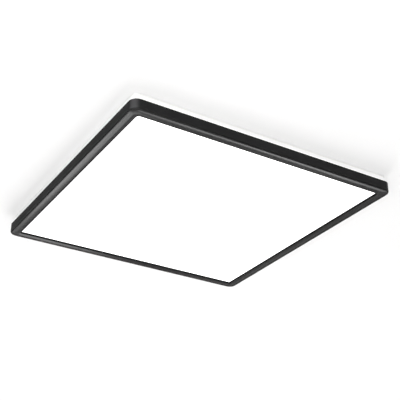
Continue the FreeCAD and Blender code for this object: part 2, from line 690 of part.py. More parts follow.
def make_cable_grommet():
    """Rubber ring pressed into the plate's cable hole from below."""
    low_z = -CEILING_THICK - GROMMET_DROP
    collar = drum(0, CABLE_Y, low_z, -CEILING_THICK, CABLE_PLATE_R + GROMMET_COLLAR)
    collar = collar.makeFillet(GROMMET_COLLAR / 2, flat_edges(collar, low_z))
    neck = drum(0, CABLE_Y, -CEILING_THICK, 0.0, CABLE_PLATE_R)
    bore = drum(0, CABLE_Y, low_z - PAST, PAST, CABLE_R)
    save("cable_grommet", collar.fuse(neck).cut(bore).removeSplitter())


def make_catch_brackets():
    """Bent steel catches: a foot on the back plate and a wall with the clip's window."""
    wall_x = (CATCH_X, CATCH_X + CATCH_THICK)
    y_range = (-CATCH_HALF_Y, CATCH_HALF_Y)
    wall = box(wall_x, y_range, (FLOOR_Z, CATCH_TOP_Z))
    foot = box((CATCH_X, CATCH_X + CATCH_FOOT), y_range, (FLOOR_Z, FLOOR_Z + CATCH_THICK))
    flare = polygon([(wall_x[0], -CATCH_HALF_Y, CATCH_TOP_Z), (wall_x[1], -CATCH_HALF_Y, CATCH_TOP_Z - 0.3),
                     (wall_x[1] + CATCH_FLARE, -CATCH_HALF_Y, CATCH_TOP_Z + 1.6),
                     (wall_x[0] + CATCH_FLARE - 0.4, -CATCH_HALF_Y, CATCH_TOP_Z + 2.3)])
    flare = flare.extrude(V(0, 2 * CATCH_HALF_Y, 0))
    window = box((CATCH_X - PAST, wall_x[1] + PAST), (-WINDOW_HALF_Y, WINDOW_HALF_Y), WINDOW_Z)
    bracket = wall.fuse([foot, flare]).cut(window)
    upright = [e for e in bracket.Edges if abs(e.Length - CATCH_THICK) < 1e-6
               and all(abs(v.X - CATCH_X - CATCH_FOOT) < 1e-6 for v in e.Vertexes)]
    bracket = bracket.makeFillet(CATCH_FOOT_R, upright)
    holes = [drum(x, y, FLOOR_Z - PAST, FLOOR_Z + CATCH_THICK + PAST, RIVET_R)
             for x, y in catch_rivets() if x > 0]
    bracket = bracket.cut(holes).removeSplitter()
    save("catch_bracket_right", bracket)
    save("catch_bracket_left", turned(bracket, 2))
    top = FLOOR_Z + CATCH_THICK
    head_r, head_high = CATCH_RIVET_HEAD
    rivets = []
    for x, y in catch_rivets():
        head = drum(x, y, top, top + head_high, head_r)
        head = head.makeFillet(head_high / 2, flat_edges(head, top + head_high))
        rivets.append(head.fuse(drum(x, y, FOAM_TOP_Z, top, RIVET_R)))
    save("catch_rivets", *rivets)


def driver_corners(half_x, half_y):
    """Four places set evenly about the driver's middle."""
    return [(sx * half_x, DRIVER_Y + sy * half_y) for sx in (-1, 1) for sy in (-1, 1)]


def lid_screws():
    return driver_corners(LID_SCREW_X, LID_SCREW_Y)


def make_driver_case():
    """Open plastic case with board posts, lid bosses and two screw ears."""
    centre = (0.0, DRIVER_Y)
    outer = slab(DRIVER_HALF_X, DRIVER_HALF_Y, DRIVER_R, FLOOR_Z, LID_SEAT_Z, centre)
    inside = slab(DRIVER_HALF_X - DRIVER_WALL, DRIVER_HALF_Y - DRIVER_WALL, DRIVER_R - DRIVER_WALL,
                  FLOOR_Z + DRIVER_WALL, LID_SEAT_Z + PAST, centre)
    case = outer.cut(inside)
    foot_z = FLOOR_Z + DRIVER_WALL / 2
    bore_r, bore_deep = LID_BORE
    additions, holes = [], []
    for x, y in lid_screws():
        additions.append(drum(x, y, foot_z, LID_SEAT_Z, LID_BOSS_R))
        holes.append(drum(x, y, LID_SEAT_Z - bore_deep, LID_SEAT_Z + PAST, bore_r))
    for x, y in driver_corners(BOARD_HALF_X - 4 * POST_R, BOARD_HALF_Y - 2 * POST_R):
        additions.append(drum(x, y, foot_z, BOARD_Z, POST_R))
    for x, y in ear_screws():
        reach = sorted((math.copysign(DRIVER_HALF_X - 1, x), x))
        tab = box(reach, (y - EAR_R, y + EAR_R), (FLOOR_Z, FLOOR_Z + EAR_THICK))
        additions += [tab, drum(x, y, FLOOR_Z, FLOOR_Z + EAR_THICK, EAR_R)]
        holes.append(drum(x, y, FLOOR_Z - PAST, FLOOR_Z + EAR_THICK + PAST, CLEARANCE_R))
    case = case.fuse(additions)
    port_z = (LEAD_PORT_Z - PORT_HALF, LEAD_PORT_Z + PORT_HALF)
    port_x = (DRIVER_HALF_X - 2 * DRIVER_WALL, DRIVER_HALF_X + PAST)
    mouths = [box((-port_x[1], -port_x[0]), (min(INPUT_Y) - PORT_HALF, max(INPUT_Y) + PORT_HALF), port_z)]
    for y in OUTPUT_Y:
        mouths.append(box(port_x, (y - PORT_HALF, y + PORT_HALF), port_z))
    save("driver_case", case.cut(holes + mouths).removeSplitter())


def make_driver_lid():
    """Flat lid with a locating lip, vent slots, screw holes and the selector's slot."""
    centre = (0.0, DRIVER_Y)
    lid = slab(DRIVER_HALF_X, DRIVER_HALF_Y, DRIVER_R, LID_SEAT_Z, LID_TOP_Z, centre)
    lid = lid.makeFillet(LID_EDGE_R, flat_edges(lid, LID_TOP_Z))
    lip_x = LID_SCREW_X - LID_BOSS_R - LID_LIP_WALL
    lip_y = DRIVER_HALF_Y - DRIVER_WALL - LID_FIT
    lip_z = LID_SEAT_Z - LID_LIP_DROP
    lip = slab(lip_x, lip_y, 1.0, lip_z, LID_SEAT_Z + EMBED, centre)
    lip = lip.cut(slab(lip_x - LID_LIP_WALL, lip_y - LID_LIP_WALL, 0.5, lip_z - PAST, LID_SEAT_Z, centre))
    lid = lid.fuse(lip)
    sink_r, sink_deep = LID_SINK
    cuts = []
    for x, y in lid_screws():
        cuts.append(drum(x, y, LID_SEAT_Z - PAST, LID_TOP_Z + PAST, PILOT_R))
        cuts.append(drum(x, y, LID_TOP_Z - sink_deep, LID_TOP_Z + PAST, sink_r))
    for place in spread(VENTS, VENT_SPREAD):
        cuts.append(slab(*VENT_HALF, 1.0, LID_SEAT_Z - PAST, LID_TOP_Z + PAST, (VENT_X + place, DRIVER_Y)))
    reach_x, reach_y = (SELECTOR_TRAVEL + KNOB_LONG) / 2, KNOB_WIDE / 2
    knob_at = (SELECTOR_X, SELECTOR_Y)
    cuts.append(slab(reach_x + 2.4, reach_y + 2.0, 1.0, LID_TOP_Z - SELECTOR_SINK, LID_TOP_Z + PAST, knob_at))
    cuts.append(slab(reach_x + 0.4, reach_y + 0.3, 0.3, LID_SEAT_Z - PAST, LID_TOP_Z + PAST, knob_at))
    save("driver_lid", lid.cut(cuts).removeSplitter())
    seat = LID_TOP_Z - sink_deep
    save("lid_screws", *[pan_head_screw(x, y, seat, *LID_SCREW) for x, y in lid_screws()])
    seat = FLOOR_Z + EAR_THICK
    save("driver_screws", *[pan_head_screw(x, y, seat, *CASE_SCREW) for x, y in ear_screws()])


def make_driver_inside():
    """Board with its wound parts, capacitors, film capacitor and heat sink."""
    top = BOARD_Z + BOARD_STOCK
    board = slab(BOARD_HALF_X, BOARD_HALF_Y, 1.0, BOARD_Z, top, (0.0, DRIVER_Y))
    corner_cuts = [drum(x, y, BOARD_Z - PAST, top + PAST, LID_BOSS_R + 1.1) for x, y in lid_screws()]
    save("driver_board", board.cut(corner_cuts))
    make_wound_parts(top)
    cans = []
    for x, y, radius, length in CANS:
        can = Part.makeCylinder(radius, length, V(x, DRIVER_Y + y, top + radius), X_AXIS)
        groove = Part.makeTorus(radius + 0.2, 0.5, V(x + 2.5, DRIVER_Y + y, top + radius), X_AXIS)
        cans.append(can.cut(groove))
    save("driver_capacitors", *cans)
    film_x, film_y = FILM_AT
    save("film_capacitor", slab(*FILM_HALF, 0.8, top, top + FILM_HIGH, (film_x, DRIVER_Y + film_y)))
    sink_z = (top, top + SINK_HIGH)
    back_y = DRIVER_Y + SINK_Y
    spine = box((SINK_X, SINK_X + 10.0), (back_y, back_y + 1.5), sink_z)
    fins = [box((SINK_X + FIN_PITCH * i, SINK_X + FIN_PITCH * i + 1.0), (back_y + 1.5, back_y + 6.0), sink_z)
            for i in range(4)]
    save("heat_sink", spine.fuse(fins).removeSplitter())


def make_wound_parts(top):
    """Transformer with a core, a bobbin and its windings, and a ring-shaped inductor on its base."""
    roof = LID_SEAT_Z - 1.0
    centre = (TRANSFORMER_X, DRIVER_Y)
    core = slab(*CORE_HALF, 0.5, top, roof, centre)
    bobbin = slab(*BOBBIN_HALF, 2.0, top + 1.4, roof - 1.4, centre)
    windings = slab(*WINDING_HALF, 2.0, top + 2.2, roof - 2.2, centre)
    save("driver_transformer", core.fuse([bobbin, windings]).removeSplitter())
    x, y = INDUCTOR_AT[0], DRIVER_Y + INDUCTOR_AT[1]
    ring_r, wire_r = INDUCTOR_R
    ring = Part.makeTorus(ring_r, wire_r, V(x, y, top + wire_r + 0.2))
    base = slab(ring_r - 0.6, ring_r - 0.6, 0.5, top, top + 1.2, (x, y))
    save("driver_inductor", ring.fuse(base).removeSplitter())


def make_selector():
    """Sliding colour selector: a switch can on the board and a knob in the lid's slot."""
    top = BOARD_Z + BOARD_STOCK
    can_top = LID_SEAT_Z - 0.5
    can = slab(*SWITCH_HALF, 0.5, top, can_top, (SELECTOR_X, SELECTOR_Y))
    stem_x, stem_y = STEM_HALF
    reach = SELECTOR_TRAVEL / 2 + stem_x + 0.9
    side = stem_y + 0.3
    channel = box((SELECTOR_X - reach, SELECTOR_X + reach), (SELECTOR_Y - side, SELECTOR_Y + side),
                  (can_top - SWITCH_CHANNEL, can_top + PAST))
    save("selector_switch", can.cut(channel))
    x = SELECTOR_X - SELECTOR_TRAVEL / 2
    grip_low = can_top + 0.3
    grip = box((x - KNOB_LONG / 2, x + KNOB_LONG / 2),
               (SELECTOR_Y - KNOB_WIDE / 2, SELECTOR_Y + KNOB_WIDE / 2), (grip_low, LID_TOP_Z + 1.0))
    groove_y = (SELECTOR_Y - KNOB_WIDE, SELECTOR_Y + KNOB_WIDE)
    groove_z = (LID_TOP_Z + 0.5, LID_TOP_Z + 2 * PAST)
    ridge_cuts = [box((x - 1.35 + 0.9 * i, x - 0.95 + 0.9 * i), groove_y, groove_z) for i in range(4)]
    stem = box((x - stem_x, x + stem_x), (SELECTOR_Y - stem_y, SELECTOR_Y + stem_y),
               (can_top - 0.8 * SWITCH_CHANNEL, grip_low + EMBED))
    save("selector_knob", grip.cut(ridge_cuts).fuse(stem).removeSplitter())


def pole_places():
    return [(i - 1) * POLE_PITCH for i in range(len(POLES))]


def make_terminal_block():
    """Three-pole block with lever slots, wire mouths, clamps and a through axle."""
    centre = (0.0, TERMINAL_Y)
    top = FLOOR_Z + TERMINAL_HIGH
    block = slab(TERMINAL_HALF_X, TERMINAL_HALF_Y, 1.2, FLOOR_Z, top, centre)
    block = block.makeFillet(0.6, flat_edges(block, top))
    front = TERMINAL_Y + TERMINAL_HALF_Y
    rear = TERMINAL_Y - TERMINAL_HALF_Y
    axle_half = TERMINAL_HALF_X - AXLE_END
    axle = Part.makeCylinder(AXLE_R, 2 * axle_half, V(-axle_half, AXLE_Y, AXLE_Z), X_AXIS)
    save("lever_axle", axle)
    slot_half = LEVER_WIDE / 2 + SLOT_SIDE
    hub_reach = LEVER_HUB_R + SLOT_SIDE
    pocket_half = CLAMP_HALF + 0.2
    cuts = [axle]
    for x in pole_places():
        slot = (x - slot_half, x + slot_half)
        cuts.append(box(slot, (AXLE_Y - hub_reach, front + PAST), (AXLE_Z - 0.6, top + PAST)))
        cuts.append(box(slot, (AXLE_Y - hub_reach, AXLE_Y + hub_reach), (AXLE_Z - hub_reach, AXLE_Z)))
        cuts.append(Part.makeCylinder(MOUTH_R, MOUTH_DEEP + PAST, V(x, front + PAST, MOUTH_Z), V(0, -1, 0)))
        cuts.append(Part.makeCylinder(LEAD_R + 0.2, 2 + PAST, V(x, rear - PAST, LEAD_PORT_Z), Y_AXIS))
        cuts.append(box((x - pocket_half, x + pocket_half), (CLAMP_Y[0] - 0.2, CLAMP_Y[1] + 0.2),
                        (CLAMP_Z[0], AXLE_Z - 0.4)))
    save("terminal_block", block.cut(cuts).removeSplitter())
    clamps = []
    for x in pole_places():
        frame = box((x - CLAMP_HALF, x + CLAMP_HALF), CLAMP_Y, CLAMP_Z)
        hole_half = CLAMP_HALF - CLAMP_WALL
        hole = box((x - hole_half, x + hole_half), (CLAMP_Y[0] - PAST, CLAMP_Y[1] + PAST),
                   (CLAMP_Z[0] + CLAMP_WALL, CLAMP_Z[1] - CLAMP_WALL))
        clamps.append(frame.cut(hole))
    save("terminal_clamps", *clamps)


def make_levers():
    """Levers that lie in the block's slots and swing up about the axle."""
    hub_bore = AXLE_R + AXLE_CLEARANCE
    for x, name in zip(pole_places(), POLES):
        low_x = x - LEVER_WIDE / 2
        tip_y = AXLE_Y + LEVER_LONG
        hub = Part.makeCylinder(LEVER_HUB_R, LEVER_WIDE, V(low_x, AXLE_Y, AXLE_Z), X_AXIS)
        arm_low = AXLE_Z - 0.1
        arm_top = AXLE_Z + LEVER_HUB_R
        profile = polygon([(low_x, AXLE_Y, arm_low), (low_x, tip_y, arm_low),
                           (low_x, tip_y + 1.2, arm_low + 0.9), (low_x, tip_y + 1.0, arm_top + 0.3),
                           (low_x, tip_y - 1.5, arm_top), (low_x, AXLE_Y, arm_top)])
        arm = profile.extrude(V(LEVER_WIDE, 0, 0))
        grips = [Part.makeCylinder(GRIP_R, LEVER_WIDE + 2 * PAST,
                                   V(low_x - PAST, tip_y - 2.4 - GRIP_PITCH * i, arm_top), X_AXIS)
                 for i in range(3)]
        bore = Part.makeCylinder(hub_bore, LEVER_WIDE + 2 * PAST, V(low_x - PAST, AXLE_Y, AXLE_Z), X_AXIS)
        save("terminal_lever_" + name, hub.fuse(arm).cut(grips + [bore]).removeSplitter())


def make_earth():
    """Earth screw with its washer, through the back plate's extruded hole."""
    x, y = EARTH_AT
    washer_r, washer_thick = WASHER
    lug_z = FLOOR_Z + washer_thick
    nut_z = lug_z + LUG_THICK
    screw_z = nut_z + NUT_HIGH
    bore = drum(x, y, FLOOR_Z - PAST, screw_z + PAST, CLEARANCE_R)
    save("earth_washer", drum(x, y, FLOOR_Z, lug_z, washer_r).cut(bore))
    save("earth_screw", pan_head_screw(x, y, screw_z, *GROUND_SCREW))
    tongue = box((x - LUG_LONG, x), (y - LUG_HALF / 2, y + LUG_HALF / 2), (lug_z, nut_z))
    sleeve = Part.makeCylinder(SLEEVE_R, LUG_LONG / 2, V(x - LUG_LONG - 2, y, SLEEVE_Z), X_AXIS)
    mouth = Part.makeCylinder(LEAD_R, 4.0, V(x - LUG_LONG - 3, y, SLEEVE_Z), X_AXIS)
    lug = drum(x, y, lug_z, nut_z, LUG_HALF).fuse([tongue, sleeve]).cut([bore, mouth])
    save("earth_lug", lug.removeSplitter())
    corners = [math.radians(60 * corner) for corner in range(6)]
    nut = polygon([(x + NUT_R * math.cos(turn), y + NUT_R * math.sin(turn), nut_z) for turn in corners])
    thread = drum(x, y, nut_z - PAST, screw_z + PAST, GROUND_SCREW[2])
    save("earth_nut", nut.extrude(V(0, 0, NUT_HIGH)).cut(thread))


def lead_clip(before, after):
    """Saddle clip round the middle of a lead's run, with two feet on the back plate."""
    middle = (V(*before) + V(*after)) / 2
    turn = math.degrees(math.atan2(after[1] - before[1], after[0] - before[0]))
    arch = Part.makeCylinder(LEAD_R + CLIP_WALL, 2 * CLIP_HALF, V(-CLIP_HALF, 0, LEAD_Z), X_AXIS)
    feet = slab(CLIP_HALF, CLIP_REACH, 0.8, FLOOR_Z, FLOOR_Z + CLIP_WALL)
    under = box((-4, 4), (-4, 4), (FLOOR_Z - 3, FLOOR_Z))
    bore = Part.makeCylinder(LEAD_R + 0.2, 2 * CLIP_HALF + 2 * PAST, V(-CLIP_HALF - PAST, 0, LEAD_Z), X_AXIS)
    clip = arch.fuse(feet).cut([under, bore])
    clip.rotate(V(0, 0, 0), Z_AXIS, turn)
    clip.translate(V(middle.x, middle.y, 0))
    return clip


def make_leads():
    """Leads from the terminal block to the driver and earth, and from the driver to the LEDs."""
    neutral_x, live_x, earth_x = pole_places()
    port = LEAD_PORT_Z
    start_y = TERMINAL_Y - TERMINAL_HALF_Y + 1.8
    end_x = -DRIVER_HALF_X + 2.0
    live_y, neutral_y = INPUT_Y
    live = [(live_x, start_y, port), (live_x, -105, port - 0.6), (-7, -119, LEAD_Z), (-27, -126, LEAD_Z),
            (-60, -123, LEAD_Z), (-94, -105, LEAD_Z), (-111, -72, LEAD_Z), (-114.5, -28, LEAD_Z),
            (-113, 22, LEAD_Z), (-115, 66, LEAD_Z), (-110, 94, LEAD_Z + 0.8), (-98, live_y, port),
            (end_x, live_y, port)]
    neutral = [(neutral_x, start_y, port), (neutral_x, -104, port - 0.6), (-19, -114, LEAD_Z),
               (-42, -115, LEAD_Z), (-70, -106, LEAD_Z), (-91, -84, LEAD_Z), (-102, -50, LEAD_Z),
               (-104.5, -8, LEAD_Z), (-103, 34, LEAD_Z), (-105.5, 66, LEAD_Z), (-103, 88, LEAD_Z + 0.8),
               (-94, neutral_y, port), (end_x, neutral_y, port)]
    earth_y = EARTH_AT[1]
    earth = [(earth_x, start_y, port), (earth_x, -104, port - 0.9), (11, -116, SLEEVE_Z),
             (16, earth_y, SLEEVE_Z), (EARTH_AT[0] - 11.5, earth_y, SLEEVE_Z)]
    halo_y, main_y = OUTPUT_Y
    out_x = DRIVER_HALF_X - 2.0
    main = [(out_x, main_y, port), (93, main_y, port - 0.5), (108, 74, LEAD_Z),
            (CONNECTOR_AT[0], 64, LEAD_Z), (CONNECTOR_AT[0], CONNECTOR_AT[1] + 3.0, LEAD_Z)]
    halo = [(out_x, halo_y, port), (94, halo_y, port - 0.5), (109, 101, LEAD_Z), (128, 103, LEAD_Z),
            (147, 100.6, LEAD_Z), (HALO_PLUG_X + 2.0, LEAD_NOTCH_Y, LEAD_Z)]
    save("live_lead", lead("live", live))
    save("neutral_lead", lead("neutral", neutral))
    save("earth_lead", lead("earth", earth))
    save("main_led_lead", lead("main LED", main))
    save("halo_lead", lead("halo", halo))
    clips = [lead_clip(live[4], live[5]), lead_clip(live[7], live[8]),
             lead_clip(neutral[4], neutral[5]), lead_clip(neutral[7], neutral[8]),
             lead_clip(halo[2], halo[3])]
    save("lead_clips", *clips)


def make_connectors():
    """Plug sockets where the two LED leads end."""
    bore_r = LEAD_R + 0.05
    x, y = CONNECTOR_AT
    top = FLOOR_Z + CONNECTOR_HIGH
    end_y = y + 4.5
    body = box((x - CONNECTOR_HALF, x + CONNECTOR_HALF), (y - 6.0, end_y), (FLOOR_Z, top))
    latch = box((x - 1.5, x + 1.5), (y - 2.0, end_y), (top, top + 0.8))
    mouth = Part.makeCylinder(bore_r, 4.0, V(x, end_y - 2.0, LEAD_Z), Y_AXIS)
    save("main_connector", body.fuse(latch).cut(mouth).removeSplitter())
    body = box((HALO_PLUG_X, HALO_AT - HALO_WIDE / 2),
               (LEAD_NOTCH_Y - HALO_PLUG_HALF, LEAD_NOTCH_Y + HALO_PLUG_HALF),
               (FLOOR_Z, FLOOR_Z + HALO_PLUG_HIGH))
    mouth = Part.makeCylinder(bore_r, 4.0, V(HALO_PLUG_X - 1.0, LEAD_NOTCH_Y, LEAD_Z), X_AXIS)
    save("halo_connector", body.cut(mouth))


def main():
    make_front_frame()
    make_optics()
    make_led_edges()
    make_back_plate()
    make_rear_tray()
    make_halo_strips()
    make_frame_fasteners()
    make_ceiling_plate()
    make_spring_clips()
    make_cable_grommet()
    make_catch_brackets()
    make_driver_case()
    make_driver_lid()
    make_driver_inside()
    make_selector()
    make_terminal_block()
    make_levers()
    make_earth()
    make_leads()
    make_connectors()


main()
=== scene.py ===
# %% [markdown]
# # A thin square LED ceiling light
#
# The lamp is a stack: a black moulded frame, a flat opal cover, a sheet that spreads the light,
# a steel back plate, and a white tray behind them whose rim glows against the ceiling. It could
# all be modelled here by eye, but its parts already exist as solids. So this lesson
# loads them, puts a finish on each, remakes the one that is seen up close, and lights them.
# Every length is in metres, and z = 0 is the ceiling.

# %% Load the lamp's solid parts
import math
import bmesh
import bpy
from mathutils import Matrix, Vector


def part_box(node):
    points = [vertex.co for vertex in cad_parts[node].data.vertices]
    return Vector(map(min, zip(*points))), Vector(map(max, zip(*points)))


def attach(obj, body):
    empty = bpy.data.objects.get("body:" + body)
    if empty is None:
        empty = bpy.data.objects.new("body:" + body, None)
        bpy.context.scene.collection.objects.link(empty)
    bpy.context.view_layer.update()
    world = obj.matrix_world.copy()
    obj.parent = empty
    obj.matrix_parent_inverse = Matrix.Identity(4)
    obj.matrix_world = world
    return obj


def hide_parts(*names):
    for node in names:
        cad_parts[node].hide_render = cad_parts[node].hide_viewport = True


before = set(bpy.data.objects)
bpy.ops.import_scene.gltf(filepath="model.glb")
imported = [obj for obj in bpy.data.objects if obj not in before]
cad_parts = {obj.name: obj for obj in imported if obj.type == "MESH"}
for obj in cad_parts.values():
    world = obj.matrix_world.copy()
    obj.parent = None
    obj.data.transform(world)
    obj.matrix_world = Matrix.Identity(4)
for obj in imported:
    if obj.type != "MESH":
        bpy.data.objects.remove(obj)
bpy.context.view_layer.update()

MM = 0.001

# %% [markdown]
# ## Sizes that the finishes and new pieces share
#
# The real lamp is 420 mm square and 28 mm deep. The sizes could be typed in again, but two
# copies of a number drift apart, so they are read from the solid parts. Only the small shapes
# that a box does not tell, such as the roundings, are written further down.

# %% Sizes read from the parts
FRAME_LOW, FRAME_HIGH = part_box("front_frame")
COVER_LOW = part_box("opal_cover")[0]
HALF = FRAME_HIGH.x
FRONT_Z = FRAME_LOW.z
print("side %.1f mm, front face at %.1f mm" % (2 * HALF / MM, FRONT_Z / MM))

# %% [markdown]
# ## Writing a finish as a formula
#
# Every finish is a small network of nodes, and most of it is arithmetic: how far is this point
# from the edge, and is it past a line. Math nodes wired by hand hide the idea. So one class
# stands for a wire, and adding or multiplying wires adds the Math node that does it.

# %% A wire that can be calculated with
class Wire:
    """One output of a node. Arithmetic on it adds Math nodes."""

    def __init__(self, finish, socket):
        self.finish = finish
        self.socket = socket

    def maths(self, operation, *values):
        return self.finish.node("ShaderNodeMath", {"operation": operation}, dict(enumerate(values)))

    def __add__(self, other):
        return self.maths("ADD", self, other)

    def __sub__(self, other):
        return self.maths("SUBTRACT", self, other)

    def __rsub__(self, other):
        return self.maths("SUBTRACT", other, self)

    def __mul__(self, other):
        return self.maths("MULTIPLY", self, other)

    __radd__ = __add__
    __rmul__ = __mul__

    def absolute(self):
        return self.maths("ABSOLUTE", self)

    def larger(self, other):
        return self.maths("MAXIMUM", self, other)

    def smaller(self, other):
        return self.maths("MINIMUM", self, other)

    def sine(self):
        return self.maths("SINE", self)

    def angle_over(self, other):
        """Angle whose tangent is this wire over the other."""
        return self.maths("ARCTAN2", self, other)


print("a wire knows:", ", ".join(name for name in vars(Wire) if not name.startswith("__")))

# %% [markdown]
# ## A finish is a recipe
#
# A finish is what a piece is made of, as the eye sees it: its colour, how rough it is, and its
# fine relief. It could be an image wrapped round the piece, but an image shows its seams and
# runs out of detail. A recipe of noise and distances has neither fault. The class below makes
# any node from its settings and its inputs, and a few short names cover the nodes used most.

# %% A finish made of nodes
class Finish:
    """A material whose nodes come from one method."""

    def __init__(self, name):
        self.material = bpy.data.materials.new(name)
        self.material.use_nodes = True
        self.tree = self.material.node_tree
        self.tree.nodes.clear()

    def node(self, kind, settings=None, inputs=None, output=0):
        made = self.tree.nodes.new(kind)
        for key, value in (settings or {}).items():
            setattr(made, key, value)
        for key, value in (inputs or {}).items():
            if isinstance(value, Wire):
                self.tree.links.new(value.socket, made.inputs[key])
            else:
                made.inputs[key].default_value = value
        return Wire(self, made.outputs[output]) if made.outputs else made

    def place(self):
        """Object coordinates, in metres on every part of the lamp."""
        return self.node("ShaderNodeTexCoord", output="Object")

    def axis(self, name):
        return self.node("ShaderNodeSeparateXYZ", inputs={0: self.place()}, output=name)

    def noise(self, scale, detail=2.0, rough=0.5, stretch=(1, 1, 1)):
        """Noise with a grain of 1 / scale metres."""
        vector = self.node("ShaderNodeMapping", inputs={"Vector": self.place(), "Scale": stretch})
        return self.node("ShaderNodeTexNoise", {"noise_dimensions": "3D"},
                         {"Vector": vector, "Scale": scale, "Detail": detail, "Roughness": rough})

    def mix(self, factor, first, second):
        """Blend of two colours."""
        return self.node("ShaderNodeMix", {"data_type": "RGBA"},
                         {"Factor": factor, 6: first, 7: second}, output=2)

    def between(self, wire, low, high, new_low, new_high):
        """The wire's range low to high spread over a new range, and held at its ends."""
        return self.node("ShaderNodeMapRange", {"interpolation_type": "SMOOTHSTEP"},
                         {"Value": wire, "From Min": low, "From Max": high,
                          "To Min": new_low, "To Max": new_high})

    def bump(self, height, distance):
        return self.node("ShaderNodeBump", inputs={"Height": height, "Distance": distance})

    def surface(self, **inputs):
        """Close the finish with one shader. Underscores in a name stand for spaces."""
        named = {key.replace("_", " "): value for key, value in inputs.items()}
        shader = self.node("ShaderNodeBsdfPrincipled", inputs=named)
        self.node("ShaderNodeOutputMaterial", inputs={"Surface": shader})
        return self.material


print("a finish has short names for:",
      ", ".join(name for name in vars(Finish) if not name.startswith("__")))

# %% [markdown]
# ## Giving a part its finish
#
# Each solid part comes with a plain material. A better one could be added beside it, but the
# faces would go on using the first. So the list of materials is emptied before the new one goes
# in. One finish may dress several parts, as one batch of plastic makes several pieces.

# %% Dress a part
def dress(material, *nodes):
    """Give solid parts a finish, in place of the plain one they came with."""
    for name in nodes:
        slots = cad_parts[name].data.materials
        slots.clear()
        slots.append(material)
    print(material.name, "on", ", ".join(nodes))


print("parts that wait for a finish:", len(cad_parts))

# %% [markdown]
# ## Black for the front frame
#
# The frame is moulded in black plastic. Its side walls keep the fine matt texture that the
# mould gives them, and its front is lacquered to a satin. Two materials could share the piece,
# but then the lacquer would end at a hard line between faces. One material that fades from matt
# to satin by height has no such line. The fine texture breaks up nearly all of the plastic's own
# shine, so its IOR is low, and the shine of the front comes from a coat over it. What the eye
# reads as the colour of the satin is mostly reflection. A fine grain and a faint unevenness,
# such as a moulding has, keep it from looking like painted glass. The walls at the four corners
# are painted a little greyer: a painted highlight where the rounded corners catch the light.

# %% Matt and satin black
MATT_Z = -24.4 * MM
SATIN_Z = -26.4 * MM
OPENING_INSET = 15.0 * MM
# Insets over which the painted highlight on the corner walls fades in.
CORNER_HIGHLIGHT_INSET = (11.5 * MM, 4.0 * MM)
LIP_BAND = (0.1 * MM, 0.6 * MM)


def frame_black():
    finish = Finish("black_moulding")
    grain = finish.noise(3500.0, detail=3.0)
    sink = finish.noise(28.0, detail=1.0)
    across, along = finish.axis("X").absolute(), finish.axis("Y").absolute()
    reach = across.larger(along)
    highlight_start, highlight_end = (HALF - inset for inset in CORNER_HIGHLIGHT_INSET)
    # Mask of the painted corner highlight: 1 on the corner walls, 0 along the straight sides.
    corner = finish.between(across.smaller(along), highlight_start, highlight_end, 0.0, 1.0)
    front = finish.between(finish.axis("Z"), SATIN_Z, MATT_Z, 1.0, 0.0)
    lip_start, lip_end = (HALF - OPENING_INSET + wide for wide in LIP_BAND)
    lip = finish.between(reach, lip_start, lip_end, 1.0, 0.0)
    matt = finish.mix(sink, (0.017, 0.017, 0.0172, 1), (0.023, 0.023, 0.0234, 1))
    # Painted highlight: the corner walls are painted paler where the rounded corner catches the
    # light.
    corner_highlight = finish.mix(corner, matt, (0.075, 0.075, 0.077, 1))
    satin = finish.mix(sink, (0.005, 0.005, 0.0051, 1), (0.009, 0.009, 0.0092, 1))
    return finish.surface(
        Base_Color=finish.mix(front.larger(lip), corner_highlight, satin),
        Roughness=finish.between(grain, 0.3, 0.7, 0.48, 0.56),
        IOR=1.08,
        Coat_Weight=front * (1 - lip),
        Coat_Roughness=0.24,
        Coat_IOR=1.36,
        Normal=finish.bump(grain * 0.35 + sink * 2.0, 0.02 * MM))


FRAME_BLACK = frame_black()
print("%s: %d nodes" % (FRAME_BLACK.name, len(FRAME_BLACK.node_tree.nodes)))

# %% [markdown]
# ## The front frame, as rings
#
# The frame is one moulding: an upright wall, a rounded edge, and a front that is crowned like
# a pillow, so that it catches the light in a soft band. It could be a section swept round a
# square, but the wide corners outside and the tight corners of the opening ask for a section
# that changes round each corner. Rings of rounded squares fit: each ring is a square whose
# corners are bevelled, and neighbouring rings are bridged until they close into a tube.

# %% Rings and the tube between them
CORNER_STEPS = 12


def rounded_ring(mesh, half, radius, z):
    """Edges of a square ring with rounded corners at height z."""
    made = bmesh.ops.create_grid(mesh, x_segments=1, y_segments=1, size=half)
    bmesh.ops.translate(mesh, verts=made["verts"], vec=(0, 0, z))
    sheet = made["verts"][0].link_faces[0]
    edges = set(sheet.edges)
    known = set(mesh.edges) - edges
    bmesh.ops.bevel(mesh, geom=made["verts"], offset=radius, offset_type="OFFSET",
                    affect="VERTICES", segments=CORNER_STEPS, profile=0.5, material=-1)
    ring = [edge for edge in mesh.edges if edge not in known]
    sheets = list({face for edge in ring for face in edge.link_faces})
    bmesh.ops.delete(mesh, geom=sheets, context="FACES_ONLY")
    return ring


def tube_of_rings(section):
    """Closed tube round the lamp, from a section of (inset, corner radius, height) stations.

    The rings are stacked while they are bridged, because two rings in one plane can be joined
    the wrong way round, and each ring is then moved to its own height.
    """
    mesh = bmesh.new()
    rings = [rounded_ring(mesh, HALF - inset, radius, step * MM)
             for step, (inset, radius, z) in enumerate(section)]
    for ring, following in zip(rings, rings[1:] + rings[:1]):
        bmesh.ops.bridge_loops(mesh, edges=ring + following)
    for ring, (inset, radius, z) in zip(rings, section):
        for vert in {vert for edge in ring for vert in edge.verts}:
            vert.co.z = z
    bmesh.ops.recalc_face_normals(mesh, faces=mesh.faces[:])
    return mesh


print("each corner of a ring is rounded in", CORNER_STEPS, "steps")

